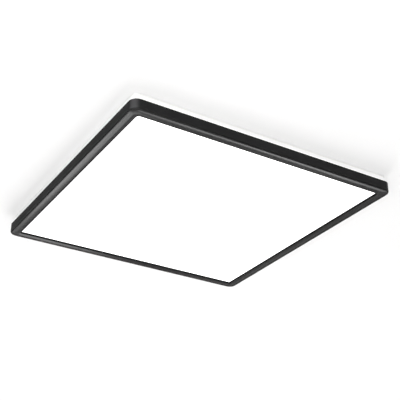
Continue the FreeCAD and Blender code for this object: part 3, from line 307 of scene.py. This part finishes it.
# %% [markdown]
# ## The frame's section
#
# Cut through the frame, and this is its outline: a flat top against the tray, a wall, a rounded
# outer edge, the crowned front, a small lip, and the seat of the cover. The outline could be
# traced as points, but the numbers would hide what they mean. So it is worked out: the crown
# is a shallow curve about its crest, and the rounded edge meets it without a kink.

# %% Crown and roundings
EDGE_INSET = 2.5 * MM
CREST_INSET = 8.0 * MM
CROWN_RISE = 1.0 * MM


def crown_height(inset):
    """How far the front lies above its crest."""
    return CROWN_RISE * ((inset - CREST_INSET) / (OPENING_INSET - CREST_INSET)) ** 2


def arc(steps, start, end):
    """Turns, in radians, from one angle to another in even steps."""
    return [math.radians(start + (end - start) * step / steps) for step in range(steps + 1)]


print("the crown falls %.2f mm to the rounded edge and %.2f mm to the opening"
      % (crown_height(EDGE_INSET) / MM, crown_height(OPENING_INSET) / MM))

# %% [markdown]
# ## Walking round the section
#
# A station says how far in a ring lies, how round its corners are and how high it is. Every
# station could share one corner radius, but the wall would then be as tight as the opening, or
# the opening as wide as the wall. So the radius shrinks evenly on the way in across the crown.

# %% Section of the frame
CORNER_R = 12 * MM
OPENING_R = 4 * MM
FRAME_WALL = 2.2 * MM
TOP_R = 0.5 * MM
LIP_R = 0.6 * MM
LIP_Z = COVER_LOW.z
TOP_STEPS, EDGE_STEPS, CROWN_STEPS, LIP_STEPS = 3, 8, 14, 4


def frame_section():
    """Stations round the frame's section: over the top, down the wall, and across the front."""
    top = FRAME_HIGH.z
    stations = [(FRAME_WALL, CORNER_R - FRAME_WALL, top)]
    for turn in arc(TOP_STEPS, 0, 90):
        inset = TOP_R * (1 - math.sin(turn))
        stations.append((inset, CORNER_R - inset, top - TOP_R * (1 - math.cos(turn))))
    crown_wide = OPENING_INSET - CREST_INSET
    slope = math.atan(2 * CROWN_RISE * (CREST_INSET - EDGE_INSET) / crown_wide ** 2)
    edge_r = EDGE_INSET / (1 - math.sin(slope))
    edge_z = FRONT_Z + crown_height(EDGE_INSET) + edge_r * math.cos(slope)
    for turn in arc(EDGE_STEPS, 90, math.degrees(slope)):
        inset = edge_r * (1 - math.sin(turn))
        stations.append((inset, CORNER_R - inset, edge_z - edge_r * math.cos(turn)))
    first_r = CORNER_R - EDGE_INSET
    for step in range(1, CROWN_STEPS + 1):
        share = step / CROWN_STEPS
        inset = EDGE_INSET + (OPENING_INSET - EDGE_INSET - LIP_R) * share
        radius = first_r + (OPENING_R + LIP_R - first_r) * share
        stations.append((inset, radius, FRONT_Z + crown_height(inset)))
    lip_low = FRONT_Z + crown_height(OPENING_INSET - LIP_R)
    for turn in arc(LIP_STEPS, 0, 90)[1:]:
        back = LIP_R * (1 - math.sin(turn))
        lift = LIP_R * (1 - math.cos(turn))
        stations.append((OPENING_INSET - back, OPENING_R + back, lip_low + lift))
    stations.append((OPENING_INSET, OPENING_R, LIP_Z))
    stations.append((FRAME_WALL, CORNER_R - FRAME_WALL, LIP_Z))
    return stations


print("stations round the section:", len(frame_section()))

# %% [markdown]
# ## The finished front frame
#
# The tube becomes a piece, takes the place of the solid frame and rides on the lamp. It could
# be cut finer until no facet shows, but smooth shading does that with far fewer faces. Edges
# sharper than an angle stay crisp, as they are on the real moulding.

# %% Front frame
CRISP_ANGLE = 35.0


def make_object(name, mesh, material):
    data = bpy.data.meshes.new(name)
    mesh.to_mesh(data)
    mesh.free()
    data.materials.append(material)
    made = bpy.data.objects.new(name, data)
    bpy.context.scene.collection.objects.link(made)
    return made


front_frame = make_object("front_frame_moulding", tube_of_rings(frame_section()), FRAME_BLACK)
front_frame.data.shade_smooth()
front_frame.data.set_sharp_from_angle(angle=math.radians(CRISP_ANGLE))
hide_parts("front_frame")
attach(front_frame, "lamp")
print("front frame:", len(front_frame.data.polygons), "faces")

# %% [markdown]
# ## The lit cover
#
# The cover is opal acrylic, lit from behind by a sheet that is fed from its four edges. It could
# be cloudy glass with lights behind it, but such light takes long to trace and comes out
# grainy. So the cover gives the light itself. It is brighter than the picture can show, and
# reads as plain white. A slight fall in light towards the middle is what such edge-lit sheets
# have. A narrow dark border at its edge, which gives no light, is painted shade for the gap
# between the cover and the frame, and it makes the black of the frame look a little wider.

# %% Opal cover, lit
# Width of the painted shade at the cover's edge, for the shadow of the gap between cover and frame.
GAP_SHADE_WIDTH = 1.2 * MM
GAP_SHADE_START = HALF - OPENING_INSET - GAP_SHADE_WIDTH
GAP_SHADE_FADE = 0.3 * MM
COVER_GLOW = 1.25
MIDDLE_SHARE = 0.96


def lit_opal():
    finish = Finish("lit_opal_acrylic")
    reach = finish.axis("X").absolute().larger(finish.axis("Y").absolute())
    # lit is 0 on the painted shade at the edge: there the cover is dark and gives no light.
    lit = finish.between(reach, GAP_SHADE_START - GAP_SHADE_FADE, GAP_SHADE_START, 1.0, 0.0)
    glow = finish.between(reach, 0.0, HALF, MIDDLE_SHARE, 1.0) * lit
    haze = finish.noise(60.0)
    shade = finish.node("ShaderNodeCombineColor", inputs={0: glow, 1: glow, 2: glow})
    return finish.surface(
        Base_Color=finish.mix(lit, (0.02, 0.02, 0.02, 1), (0.93, 0.93, 0.93, 1)),
        Roughness=finish.between(haze, 0.3, 0.7, 0.3, 0.4),
        Emission_Color=shade,
        Emission_Strength=COVER_GLOW)


dress(lit_opal(), "opal_cover")

# %% [markdown]
# ## The glowing tray
#
# The white tray behind the frame is lit from inside by four strips of LEDs. Its rim is the
# bright strip round the lamp: brightest next to the black frame, and fading to the ceiling. On
# the back the light is strongest over the strips and fades towards the well in the middle. As
# with the cover, the tray gives the light itself, which stays smooth where light traced
# through thin plastic would be grainy.

# %% White tray, lit from inside
STRIP_REACH = 182.0 * MM
STRIP_SPREAD = (4.0 * MM, 34.0 * MM)
STRIP_GLOW = 0.16
RIM_INSET = (7.5 * MM, 5.2 * MM)
RIM_HEIGHT = (-8.5 * MM, -1.0 * MM)
RIM_GLOW = (0.34, 0.08)


def glowing_tray():
    finish = Finish("glowing_tray_moulding")
    reach = finish.axis("X").absolute().larger(finish.axis("Y").absolute())
    over_strip = 1 - finish.between((reach - STRIP_REACH).absolute(), *STRIP_SPREAD, 0.0, 1.0)
    rim_start, rim_end = (HALF - inset for inset in RIM_INSET)
    rim = finish.between(reach, rim_start, rim_end, 0.0, 1.0)
    fall = finish.between(finish.axis("Z"), *RIM_HEIGHT, *RIM_GLOW)
    glow = (over_strip * STRIP_GLOW).larger(rim * fall)
    grain = finish.noise(2500.0)
    shade = finish.node("ShaderNodeCombineColor", inputs={0: glow, 1: glow, 2: glow})
    return finish.surface(
        Base_Color=(0.86, 0.86, 0.85, 1),
        Roughness=finish.between(grain, 0.3, 0.7, 0.36, 0.46),
        Emission_Color=shade,
        Emission_Strength=1.0,
        Normal=finish.bump(grain, 0.02 * MM))


dress(glowing_tray(), "rear_tray")

# %% [markdown]
# ## Two families of finish
#
# Most hidden pieces are either moulded plastic or metal. Plastic takes the mould's fine texture
# and has a faint cloud in its colour. Sheet metal shows the direction in which it was rolled or
# drawn, and stains where it was handled. Each piece could have a recipe of its own, but they
# would differ in little more than colour. So each family has one, and a piece adds its colour.

# %% Plastic and metal
def tint(colour, strength):
    """The colour made darker or paler, with full opacity."""
    return tuple(min(1.0, part * strength) for part in colour) + (1,)


def moulded(name, colour, roughness, grain=2200.0, depth=0.03 * MM):
    finish = Finish(name)
    texture = finish.noise(grain, detail=3.0)
    cloud = finish.noise(35.0)
    return finish.surface(
        Base_Color=finish.mix(cloud, tint(colour, 0.93), tint(colour, 1.05)),
        Roughness=finish.between(texture, 0.3, 0.7, roughness - 0.07, roughness + 0.07),
        Normal=finish.bump(texture, depth))


def drawn_metal(name, colour, roughness, along=(1, 1, 1)):
    """Metal with fine streaks. The streaks run along the axis whose stretch is smallest."""
    finish = Finish(name)
    streaks = finish.noise(1600.0, detail=4.0, stretch=along)
    patches = finish.noise(45.0, detail=4.0, rough=0.65)
    return finish.surface(
        Base_Color=finish.mix(patches, tint(colour, 0.8), tint(colour, 1.0)),
        Metallic=1.0,
        Roughness=finish.between(streaks * 0.7 + patches * 0.3, 0.3, 0.7,
                                 roughness - 0.08, roughness + 0.1),
        Normal=finish.bump(streaks, 0.012 * MM))


print("families: moulded plastic and drawn metal")

# %% [markdown]
# ## The sheet steel parts
#
# The back plate is coated white, so that it throws stray light back, and the coating has the
# slight orange peel of baked powder. The ceiling plate and the catches are zinc coated sheet,
# whose crystals each catch the light at their own angle. Plain noise would do for grime, but
# crystals have edges, so they come from a texture that splits space into cells.

# %% Coated and zinc coated steel
def powder_coat():
    finish = Finish("white_powder_coat")
    peel = finish.noise(900.0, detail=2.0)
    dust = finish.noise(14.0, detail=5.0, rough=0.6)
    return finish.surface(
        Base_Color=finish.mix(dust, (0.60, 0.60, 0.59, 1), (0.72, 0.72, 0.71, 1)),
        Roughness=finish.between(peel, 0.3, 0.7, 0.38, 0.5),
        Coat_Weight=0.15,
        Coat_Roughness=0.3,
        Normal=finish.bump(peel, 0.05 * MM))


def zinc_sheet():
    """Zinc crystals, a few millimetres across."""
    finish = Finish("zinc_coated_steel")
    crystals = finish.node("ShaderNodeTexVoronoi", {"feature": "F1"},
                           {"Vector": finish.place(), "Scale": 260.0}, output="Color")
    angle = finish.node("ShaderNodeSeparateColor", inputs={0: crystals}, output=0)
    grime = finish.noise(50.0, detail=4.0, rough=0.65)
    return finish.surface(
        Base_Color=finish.mix(angle * 0.7 + grime * 0.3,
                              (0.42, 0.43, 0.45, 1), (0.66, 0.67, 0.68, 1)),
        Metallic=1.0,
        Roughness=finish.between(angle, 0.0, 1.0, 0.3, 0.46),
        Normal=finish.bump(angle * 0.5 + grime, 0.02 * MM))


dress(powder_coat(), "back_plate")
dress(zinc_sheet(), "ceiling_plate", "catch_bracket_left", "catch_bracket_right")

# %% [markdown]
# ## Springs, screws and rivets
#
# The two leaf springs are blued steel: heat left a thin film on them whose colour drifts
# between straw and blue. Blender can work out the colours of a thin film, but they then depend
# on a thickness that nobody has measured, so a drift of colour stands for it. Screws, nuts and
# rivets are too small to need more than the recipe for drawn metal.

# %% Springs, screws and rivets
def blued_spring():
    """Blued steel: the colour drifts between straw and blue, as the heat left it."""
    finish = Finish("blued_spring_steel")
    heat = finish.noise(70.0, detail=2.0)
    streaks = finish.noise(1800.0, detail=3.0, stretch=(0.2, 1, 0.2))
    return finish.surface(
        Base_Color=finish.mix(heat, (0.16, 0.17, 0.21, 1), (0.30, 0.27, 0.23, 1)),
        Metallic=1.0,
        Roughness=finish.between(streaks, 0.3, 0.7, 0.24, 0.4),
        Normal=finish.bump(streaks, 0.01 * MM))


dress(blued_spring(), "spring_clip_left", "spring_clip_right")
dress(drawn_metal("zinc_plated_screws", (0.70, 0.70, 0.66), 0.3), "corner_screws", "tray_screws",
      "lid_screws", "driver_screws", "earth_screw", "earth_nut", "lever_axle")
dress(drawn_metal("aluminium_rivets", (0.78, 0.78, 0.79), 0.36), "clip_rivets", "catch_rivets")
dress(drawn_metal("tinned_copper", (0.74, 0.71, 0.66), 0.28), "earth_lug", "terminal_clamps")
dress(drawn_metal("nickel_washer", (0.62, 0.60, 0.55), 0.26), "earth_washer")

# %% [markdown]
# ## The light engine
#
# Light leaves the LEDs on the four edges, runs into a clear acrylic sheet, and leaves it where
# printed white dots scatter it. The dots grow towards the middle, where less light arrives.
# White film behind the sheet sends stray light forward, and a foam pad keeps the stack tight.
# The dots could be thousands of small discs. A cell texture without randomness is an even
# lattice of them, needs no mesh, and lets their size follow the distance from the middle.

# %% Aluminium rails, light guide, film and foam
def printed_acrylic():
    finish = Finish("dotted_acrylic")
    dots = finish.node("ShaderNodeTexVoronoi", {"feature": "F1"},
                       {"Vector": finish.place(), "Scale": 420.0, "Randomness": 0.0},
                       output="Distance")
    reach = finish.axis("X").absolute().larger(finish.axis("Y").absolute())
    size = finish.between(reach, 0.0, HALF, 0.42, 0.16)
    printed = finish.between(dots - size, -0.04, 0.04, 1.0, 0.0)
    return finish.surface(
        Base_Color=finish.mix(printed, (0.80, 0.85, 0.86, 1), (0.95, 0.95, 0.95, 1)),
        Roughness=finish.between(printed, 0.0, 1.0, 0.06, 0.6),
        Normal=finish.bump(printed, 0.02 * MM))


def closed_foam():
    finish = Finish("closed_cell_foam")
    cells = finish.node("ShaderNodeTexVoronoi", {"feature": "SMOOTH_F1"},
                        {"Vector": finish.place(), "Scale": 1500.0}, output="Distance")
    return finish.surface(
        Base_Color=finish.mix(cells, (0.50, 0.50, 0.49, 1), (0.74, 0.74, 0.73, 1)),
        Roughness=finish.between(cells, 0.0, 1.0, 0.95, 0.8),
        Normal=finish.bump(cells, 0.2 * MM))


dress(drawn_metal("extruded_aluminium_x", (0.80, 0.81, 0.82), 0.3, along=(0.04, 1, 1)),
      "led_rail_back", "led_rail_front")
dress(drawn_metal("extruded_aluminium_y", (0.80, 0.81, 0.82), 0.3, along=(1, 0.04, 1)),
      "led_rail_left", "led_rail_right")
dress(printed_acrylic(), "light_guide")
dress(moulded("reflector_film", (0.90, 0.90, 0.90), 0.3, grain=800.0, depth=0.01 * MM),
      "reflector_sheet")
dress(closed_foam(), "foam_pad")

# %% [markdown]
# ## LEDs and their boards
#
# An LED is a blue chip under a drop of yellow phosphor, soldered to a white board with copper
# pads. A lamp could be placed at each LED, but there are more than a hundred, and all of them
# are hidden. So the drops glow a little by themselves, and the pads are a lattice on the board.

# %% LEDs and their boards
SIDES = ("right", "back", "left", "front")


def led_board():
    """White solder mask with copper pads that show through at an even pitch."""
    finish = Finish("white_led_board")
    pads = finish.node("ShaderNodeTexVoronoi", {"feature": "F1", "distance": "CHEBYCHEV"},
                       {"Vector": finish.place(), "Scale": 230.0, "Randomness": 0.0},
                       output="Distance")
    bare = finish.between(pads, 0.16, 0.2, 1.0, 0.0)
    weave = finish.noise(1900.0)
    return finish.surface(
        Base_Color=finish.mix(bare, (0.86, 0.87, 0.85, 1), (0.80, 0.66, 0.42, 1)),
        Metallic=bare * 0.8,
        Roughness=finish.between(weave, 0.3, 0.7, 0.34, 0.42),
        Normal=finish.bump(bare * -0.3 + weave * 0.2, 0.03 * MM))


def lit_phosphor(name, strength):
    """Phosphor over a blue chip: yellow where it is thick, and lit."""
    finish = Finish(name)
    depth = finish.noise(1200.0)
    glow = finish.between(depth, 0.2, 0.8, 0.7, 1.0)
    return finish.surface(
        Base_Color=finish.mix(depth, (0.93, 0.72, 0.20, 1), (0.98, 0.90, 0.52, 1)),
        Roughness=finish.between(depth, 0.3, 0.7, 0.3, 0.45),
        Emission_Color=finish.mix(glow, (0.85, 0.76, 0.55, 1), (1.0, 0.95, 0.86, 1)),
        Emission_Strength=strength)


dress(led_board(), "halo_strips", *["led_board_" + side for side in SIDES])
dress(lit_phosphor("lit_edge_leds", 2.0), "edge_leds")
dress(lit_phosphor("lit_halo_leds", 2.0), "halo_leds")

# %% [markdown]
# ## The driver's case and board
#
# The driver turns mains into a steady current. Its case and lid are white plastic, and inside
# is a green board with tracks and tinned pads. The tracks could be cut as solids, but they are
# thinner than a hair, so a Brick texture draws them and a bump lifts them.

# %% Case and board
CASE_WHITE = (0.80, 0.80, 0.78)


def green_board():
    """Green solder mask, with tracks as paler lines and tinned pads as dots."""
    finish = Finish("green_board")
    tracks = finish.node("ShaderNodeTexBrick", {"offset": 0.5},
                         {"Vector": finish.place(), "Scale": 1.0, "Brick Width": 9 * MM,
                          "Row Height": 3.2 * MM, "Mortar Size": 0.45 * MM,
                          "Mortar Smooth": 0.1}, output="Fac")
    pads = finish.node("ShaderNodeTexVoronoi", {"feature": "F1"},
                       {"Vector": finish.place(), "Scale": 210.0, "Randomness": 0.7},
                       output="Distance")
    tinned = finish.between(pads, 0.14, 0.18, 1.0, 0.0)
    mask = finish.mix(tracks, (0.012, 0.11, 0.045, 1), (0.03, 0.20, 0.085, 1))
    return finish.surface(
        Base_Color=finish.mix(tinned, mask, (0.72, 0.72, 0.70, 1)),
        Metallic=tinned * 0.9,
        Roughness=finish.between(tinned, 0.0, 1.0, 0.3, 0.22),
        Normal=finish.bump(tracks + tinned, 0.04 * MM))


dress(moulded("white_case_plastic", CASE_WHITE, 0.42, grain=1600.0, depth=0.05 * MM),
      "driver_case", "driver_lid")
dress(green_board(), "driver_board")

# %% [markdown]
# ## The driver's wound parts
#
# The transformer is a ferrite core whose windings stand out on both sides under yellow tape.
# The small ring is wound with enamelled copper. Each turn could be a bent tube, but at this
# size the ridges are enough: the sine of the angle round the ring makes them. Its negative
# waves are turned up, so each wave gives two ridges.

# %% Transformer and ring
FERRITE_HALF = 10.0 * MM
TAPE_EDGE = 0.1 * MM
RING_TURNS = 42


def wound_transformer():
    """Ferrite in the middle. The windings that stand out on both sides are taped yellow."""
    finish = Finish("ferrite_and_tape")
    low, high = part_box("driver_transformer")
    centre_y = (low.y + high.y) / 2
    aside = (finish.axis("Y") - centre_y).absolute()
    taped = finish.between(aside, FERRITE_HALF, FERRITE_HALF + TAPE_EDGE, 0.0, 1.0)
    grain = finish.noise(1500.0, detail=4.0)
    return finish.surface(
        Base_Color=finish.mix(taped, (0.035, 0.035, 0.037, 1), (0.86, 0.62, 0.07, 1)),
        Roughness=finish.between(grain + taped * -0.6, 0.0, 0.7, 0.28, 0.7),
        Normal=finish.bump(grain, 0.05 * MM))


def copper_ring():
    """Enamelled copper turns, laid side by side round the ring."""
    finish = Finish("copper_winding")
    low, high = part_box("driver_inductor")
    middle = (low + high) / 2
    turn = (finish.axis("Y") - middle.y).angle_over(finish.axis("X") - middle.x)
    wire = (turn * (RING_TURNS / 2)).sine().absolute()
    return finish.surface(
        Base_Color=finish.mix(wire, (0.10, 0.025, 0.01, 1), (0.72, 0.30, 0.12, 1)),
        Metallic=finish.between(wire, 0.1, 0.4, 0.3, 0.95),
        Roughness=finish.between(wire, 0.0, 1.0, 0.5, 0.24),
        Normal=finish.bump(wire, 0.3 * MM))


dress(wound_transformer(), "driver_transformer")
dress(copper_ring(), "driver_inductor")

# %% [markdown]
# ## The driver's other parts
#
# The capacitors wear dark shrunk sleeves with a pale stripe. The stripe could be a face of its
# own, but then it would need an edge in the mesh. It lies on top of each can, so the direction
# that the surface faces is enough to place it. The other parts use the two families.

# %% Capacitors, heat sink and selector
def sleeved_can():
    """Dark shrunk sleeve with a pale stripe along it."""
    finish = Finish("capacitor_sleeve")
    normal = finish.node("ShaderNodeNewGeometry", output="Normal")
    up = finish.node("ShaderNodeSeparateXYZ", inputs={0: normal}, output="Z")
    stripe = finish.between(up, 0.86, 0.9, 0.0, 1.0)
    ripple = finish.noise(700.0)
    return finish.surface(
        Base_Color=finish.mix(stripe, (0.012, 0.016, 0.035, 1), (0.42, 0.43, 0.45, 1)),
        Roughness=finish.between(ripple, 0.3, 0.7, 0.25, 0.38),
        Normal=finish.bump(ripple, 0.04 * MM))


dress(sleeved_can(), "driver_capacitors")
dress(moulded("yellow_film_case", (0.72, 0.44, 0.04), 0.35), "film_capacitor")
dress(drawn_metal("black_anodised_sink", (0.05, 0.05, 0.055), 0.4), "heat_sink")
dress(drawn_metal("switch_can", (0.66, 0.66, 0.64), 0.32), "selector_switch")
dress(moulded("knob_black", (0.02, 0.02, 0.021), 0.4), "selector_knob")

# %% [markdown]
# ## Leads
#
# Brown is live, blue is neutral, and green with yellow is earth. The two leads to the LEDs are
# white. Their insulation is pressed round the wire as it runs, which leaves it smooth with a
# long faint ripple. The earth's two colours could be two strips of faces. Its upper side faces
# up wherever the lead runs, so the direction of the surface parts them with no extra edge.

# %% Leads
def insulation(name, colour):
    """Extruded PVC: smooth, slightly greasy, with a long faint ripple."""
    finish = Finish(name)
    ripple = finish.noise(160.0)
    return finish.surface(
        Base_Color=finish.mix(ripple, tint(colour, 0.86), tint(colour, 1.06)),
        Roughness=finish.between(ripple, 0.3, 0.7, 0.3, 0.42),
        Normal=finish.bump(ripple, 0.05 * MM))


def earth_insulation():
    """Green and yellow halves that run the length of the lead."""
    finish = Finish("earth_insulation")
    normal = finish.node("ShaderNodeNewGeometry", output="Normal")
    up = finish.node("ShaderNodeSeparateXYZ", inputs={0: normal}, output="Z")
    yellow = finish.between(up, 0.45, 0.52, 0.0, 1.0)
    ripple = finish.noise(160.0)
    return finish.surface(
        Base_Color=finish.mix(yellow, (0.02, 0.22, 0.03, 1), (0.80, 0.62, 0.02, 1)),
        Roughness=finish.between(ripple, 0.3, 0.7, 0.3, 0.42),
        Normal=finish.bump(ripple, 0.05 * MM))


dress(insulation("brown_insulation", (0.16, 0.055, 0.02)), "live_lead")
dress(insulation("blue_insulation", (0.02, 0.11, 0.42)), "neutral_lead")
dress(earth_insulation(), "earth_lead")
dress(insulation("white_insulation", (0.78, 0.78, 0.76)), "main_led_lead", "halo_lead")

# %% [markdown]
# ## Terminal block, clips and plugs
#
# The terminal block is grey plastic, and its levers are orange, so that they are easy to find.
# Saddle clips and plugs of natural nylon hold the leads, and a rubber grommet lines the hole
# for the house cable. Each could have a recipe of its own, but all are plain mouldings, so the
# plastic recipe serves. The rubber only asks it for a coarser grain and less shine.

# %% Terminal block, clips, plugs and grommet
dress(moulded("terminal_grey", (0.33, 0.34, 0.35), 0.38), "terminal_block")
dress(moulded("lever_orange", (0.86, 0.23, 0.02), 0.34),
      "terminal_lever_live", "terminal_lever_neutral", "terminal_lever_earth")
dress(moulded("natural_nylon", (0.74, 0.72, 0.64), 0.45),
      "lead_clips", "main_connector", "halo_connector")
dress(moulded("grey_rubber", (0.055, 0.055, 0.058), 0.72, grain=900.0, depth=0.06 * MM),
      "cable_grommet")

# %% [markdown]
# ## The camera
#
# The picture was taken from below and to one side. The camera could be moved about until it
# looks right, but the four sides of the lamp are plain to see, and the way they run together
# gives the lens and the place of the camera. So both were solved from them: the lens sees 25
# degrees, and the lamp is seen from 28 degrees below its own plane.

# %% Camera
def aim(thing, eye, look, up):
    """Turn and place a camera or a lamp so that it looks along look."""
    back = -Vector(look).normalized()
    side = Vector(up).cross(back).normalized()
    lift = back.cross(side)
    thing.matrix_world = Matrix.Translation(eye) @ Matrix((side, lift, back)).transposed().to_4x4()


camera_data = bpy.data.cameras.new("camera")
camera_data.lens = 81.10
camera_data.sensor_width = 36.0
camera_data.clip_start = 0.02
camera_data.clip_end = 60.0
camera = bpy.data.objects.new("camera", camera_data)
bpy.context.scene.collection.objects.link(camera)
EYE = Vector((1.035574, -0.617855, -0.644414))
LOOK = Vector((-0.75323, 0.46026, 0.46990))
UP = Vector((0.4005, -0.2454, 0.8828))
aim(camera, EYE, LOOK, UP)
bpy.context.scene.camera = camera
print("camera is %.2f m from the lamp" % EYE.length)

# %% [markdown]
# ## Paint for the ceiling and the floor
#
# The lamp hangs under a white ceiling. A solid ceiling would hide the back of the lamp from a
# camera above it, so its paint is white from below and clear from above. It could be left out
# of such views instead, but then the same scene would need two versions.

# %% Paint for the stage
ROOM_GLOW = 0.7


def paint(name, colour, roughness, glow=0.0):
    finish = Finish(name)
    return finish.surface(Base_Color=colour, Roughness=roughness, Specular_IOR_Level=0.0,
                          Emission_Color=(1, 1, 1, 1), Emission_Strength=glow)


def ceiling_paint():
    """White from below and clear from above."""
    finish = Finish("ceiling_paint")
    white = finish.node("ShaderNodeBsdfPrincipled", inputs={
        "Base Color": (0.92, 0.92, 0.92, 1), "Roughness": 0.9, "Specular IOR Level": 0.0})
    clear = finish.node("ShaderNodeBsdfTransparent")
    above = finish.node("ShaderNodeNewGeometry", output="Backfacing")
    both = finish.node("ShaderNodeMixShader", inputs={0: above, 1: white, 2: clear})
    finish.node("ShaderNodeOutputMaterial", inputs={"Surface": both})
    return finish.material


CEILING_PAINT = ceiling_paint()
FLOOR_PAINT = paint("floor_paint", (0.62, 0.615, 0.61, 1), 0.8)
VIEW_PAINT = paint("pale_floor_paint", (0, 0, 0, 1), 1.0, glow=ROOM_GLOW)
print("paints:", CEILING_PAINT.name, FLOOR_PAINT.name, VIEW_PAINT.name)

# %% [markdown]
# ## The ceiling and the floor
#
# The ceiling has an opening as large as the tray, so that light reaches the back of the lamp.
# The lamp hides it, and a patch closes it for the camera when the lamp is taken down. The floor
# sends some light back up. Its far edge would stand out against the room, so a second sheet
# just over it has the room's own tone. Both sheets could take part in the light as well, but
# then they would change it, so only the camera sees them.

# %% Ceiling and floor
def flat_square(name, half, z, material, face_down=False, hole=0.0):
    """A square sheet at height z that faces up or down, with a square hole if one is asked for."""
    mesh = bmesh.new()
    bmesh.ops.create_grid(mesh, x_segments=1, y_segments=1, size=half)
    if hole:
        sheet = mesh.faces[:]
        bmesh.ops.inset_region(mesh, faces=sheet, thickness=half - hole, use_boundary=True,
                               use_even_offset=True)
        bmesh.ops.delete(mesh, geom=sheet, context="FACES")
    if face_down:
        bmesh.ops.reverse_faces(mesh, faces=mesh.faces[:])
    bmesh.ops.translate(mesh, verts=mesh.verts[:], vec=(0, 0, z))
    return make_object(name, mesh, material)


CEILING_Z = 0.2 * MM
CEILING_HALF = 4.0
OPENING = HALF - 6 * MM
FLOOR_Z = -1.6
FLOOR_HALF = 12.0
SHEET_GAP = 10 * MM
ceiling = flat_square("ceiling", CEILING_HALF, CEILING_Z, CEILING_PAINT, face_down=True,
                      hole=OPENING)
patch = flat_square("ceiling_patch", OPENING, CEILING_Z, CEILING_PAINT, face_down=True)
floor = flat_square("floor", FLOOR_HALF, FLOOR_Z, FLOOR_PAINT)
pale_floor = flat_square("pale_floor", FLOOR_HALF, FLOOR_Z + SHEET_GAP, VIEW_PAINT)
for sheet in (patch, pale_floor):
    sheet.visible_diffuse = False
    sheet.visible_glossy = False
    sheet.visible_transmission = False
    sheet.visible_shadow = False
print("ceiling opening: %.0f mm wide" % (2 * OPENING / MM))

# %% [markdown]
# ## The room
#
# The light of a room comes from all sides. A picture of a real room could be wrapped round the
# scene, but its windows would show in the crown of the frame. One even pale tone has nothing
# to show, and leaves the highlights to the lights that are placed on purpose.

# %% Room
world = bpy.data.worlds.new("room")
bpy.context.scene.world = world
world.use_nodes = True
room = world.node_tree.nodes["Background"]
room.inputs["Color"].default_value = (1, 1, 1, 1)
room.inputs["Strength"].default_value = ROOM_GLOW
print("room strength:", ROOM_GLOW)

# %% [markdown]
# ## Softboxes
#
# The room could light the lamp alone, but then the black frame would be a shape without form,
# so thirteen softboxes are added. The key boxes stand on the camera's side and light the walls,
# the rim and the ceiling, and a low one leaves a faint shade beyond the far sides. The halo
# boxes stand behind the lamp and leave a soft shade on the near side. The band boxes stand
# where the crown of the frame mirrors them, and draw the soft bands on it. One box lights the
# back from above. Some light only matt surfaces and some give only shine, so that shade and
# highlight can be set one at a time.

# %% Softboxes
DISTANCE = 1.5


def softbox(name, azimuth, elevation, side, power, distance=DISTANCE, matt=True, shine=True):
    """A square light that faces the lamp. It may light only matt surfaces, or only shine."""
    data = bpy.data.lights.new(name, "AREA")
    data.size = side
    data.energy = power
    made = bpy.data.objects.new(name, data)
    made.visible_camera = False
    made.visible_diffuse = matt
    made.visible_glossy = shine
    bpy.context.scene.collection.objects.link(made)
    turn, tilt = math.radians(azimuth), math.radians(elevation)
    level = math.cos(tilt)
    place = distance * Vector((level * math.cos(turn), level * math.sin(turn), math.sin(tilt)))
    aim(made, place, -place, (0, 0, 1))


# name, azimuth and elevation in degrees, side in metres, power in watts
softbox("key_front", -53, -40, 1.2, 6.9)
softbox("key_low", -45, -17, 0.8, 3.6, shine=False)
softbox("key_right", 0, -46, 1.2, 4.6)
softbox("key_left", 232, -52, 1.0, 2.9)
softbox("far_fill", 84, -45, 1.0, 5.5, distance=2.2)
softbox("halo_shade", 149, -30, 1.0, 9.0, shine=False)
softbox("band_high", 130, -62, 0.5, 4.4, matt=False)
softbox("halo_core", 130, -72, 0.6, 3.0, shine=False)
softbox("band_far", 110, -50, 0.5, 5.2, matt=False)
softbox("band_left", 190, -40, 0.5, 3.6, matt=False)
softbox("band_low", 170, -40, 0.5, 2.8, matt=False)
softbox("band_near", 141, -26, 0.5, 0.4, distance=2.1, matt=False)
softbox("rear_fill", -50, 62, 1.5, 14.0, distance=2.6)

# %% [markdown]
# ## A dark band for the reflections
#
# In a real room the walls at the height of the lamp are darker than the floor and the ceiling,
# and the frame's rounded edge mirrors them as a dark line. Four walls could be built, but they
# would also take light from the ceiling. So a round band of dark cloth stands in for them, and
# only reflections see it.

# %% Dark band
BAND_FAR = 3.0
BAND_TALL = 0.9
BAND_TOP = -10 * MM


def dark_band():
    """Dark band at the height of the lamp."""
    mesh = bmesh.new()
    bmesh.ops.create_cone(mesh, cap_ends=False, segments=48, radius1=BAND_FAR, radius2=BAND_FAR,
                          depth=BAND_TALL)
    bmesh.ops.reverse_faces(mesh, faces=mesh.faces[:])
    bmesh.ops.translate(mesh, verts=mesh.verts[:], vec=(0, 0, BAND_TOP - BAND_TALL / 2))
    band = make_object("dark_band", mesh, paint("dark_cloth", (0.02, 0.02, 0.02, 1), 1.0))
    band.visible_camera = False
    band.visible_diffuse = False
    band.visible_transmission = False
    band.visible_shadow = False
    return band


dark_band()
print("dark band: %.1f m away, %.1f m tall" % (BAND_FAR, BAND_TALL))

# %% [markdown]
# ## Colours as they are
#
# A camera's film softens bright light, and Blender can copy that. The picture is a plain one
# with a pure white cover and ceiling, so the colours are shown as they are worked out.

# %% Plain colours
view = bpy.context.scene.view_settings
view.view_transform = "Standard"
view.look = "None"
print("view:", view.view_transform)

# %% [markdown]
# ## Staying inside the solids
#
# The made pieces must stay inside the box of the solids they stand for, and a rounding that
# is a hair too wide is easily missed.
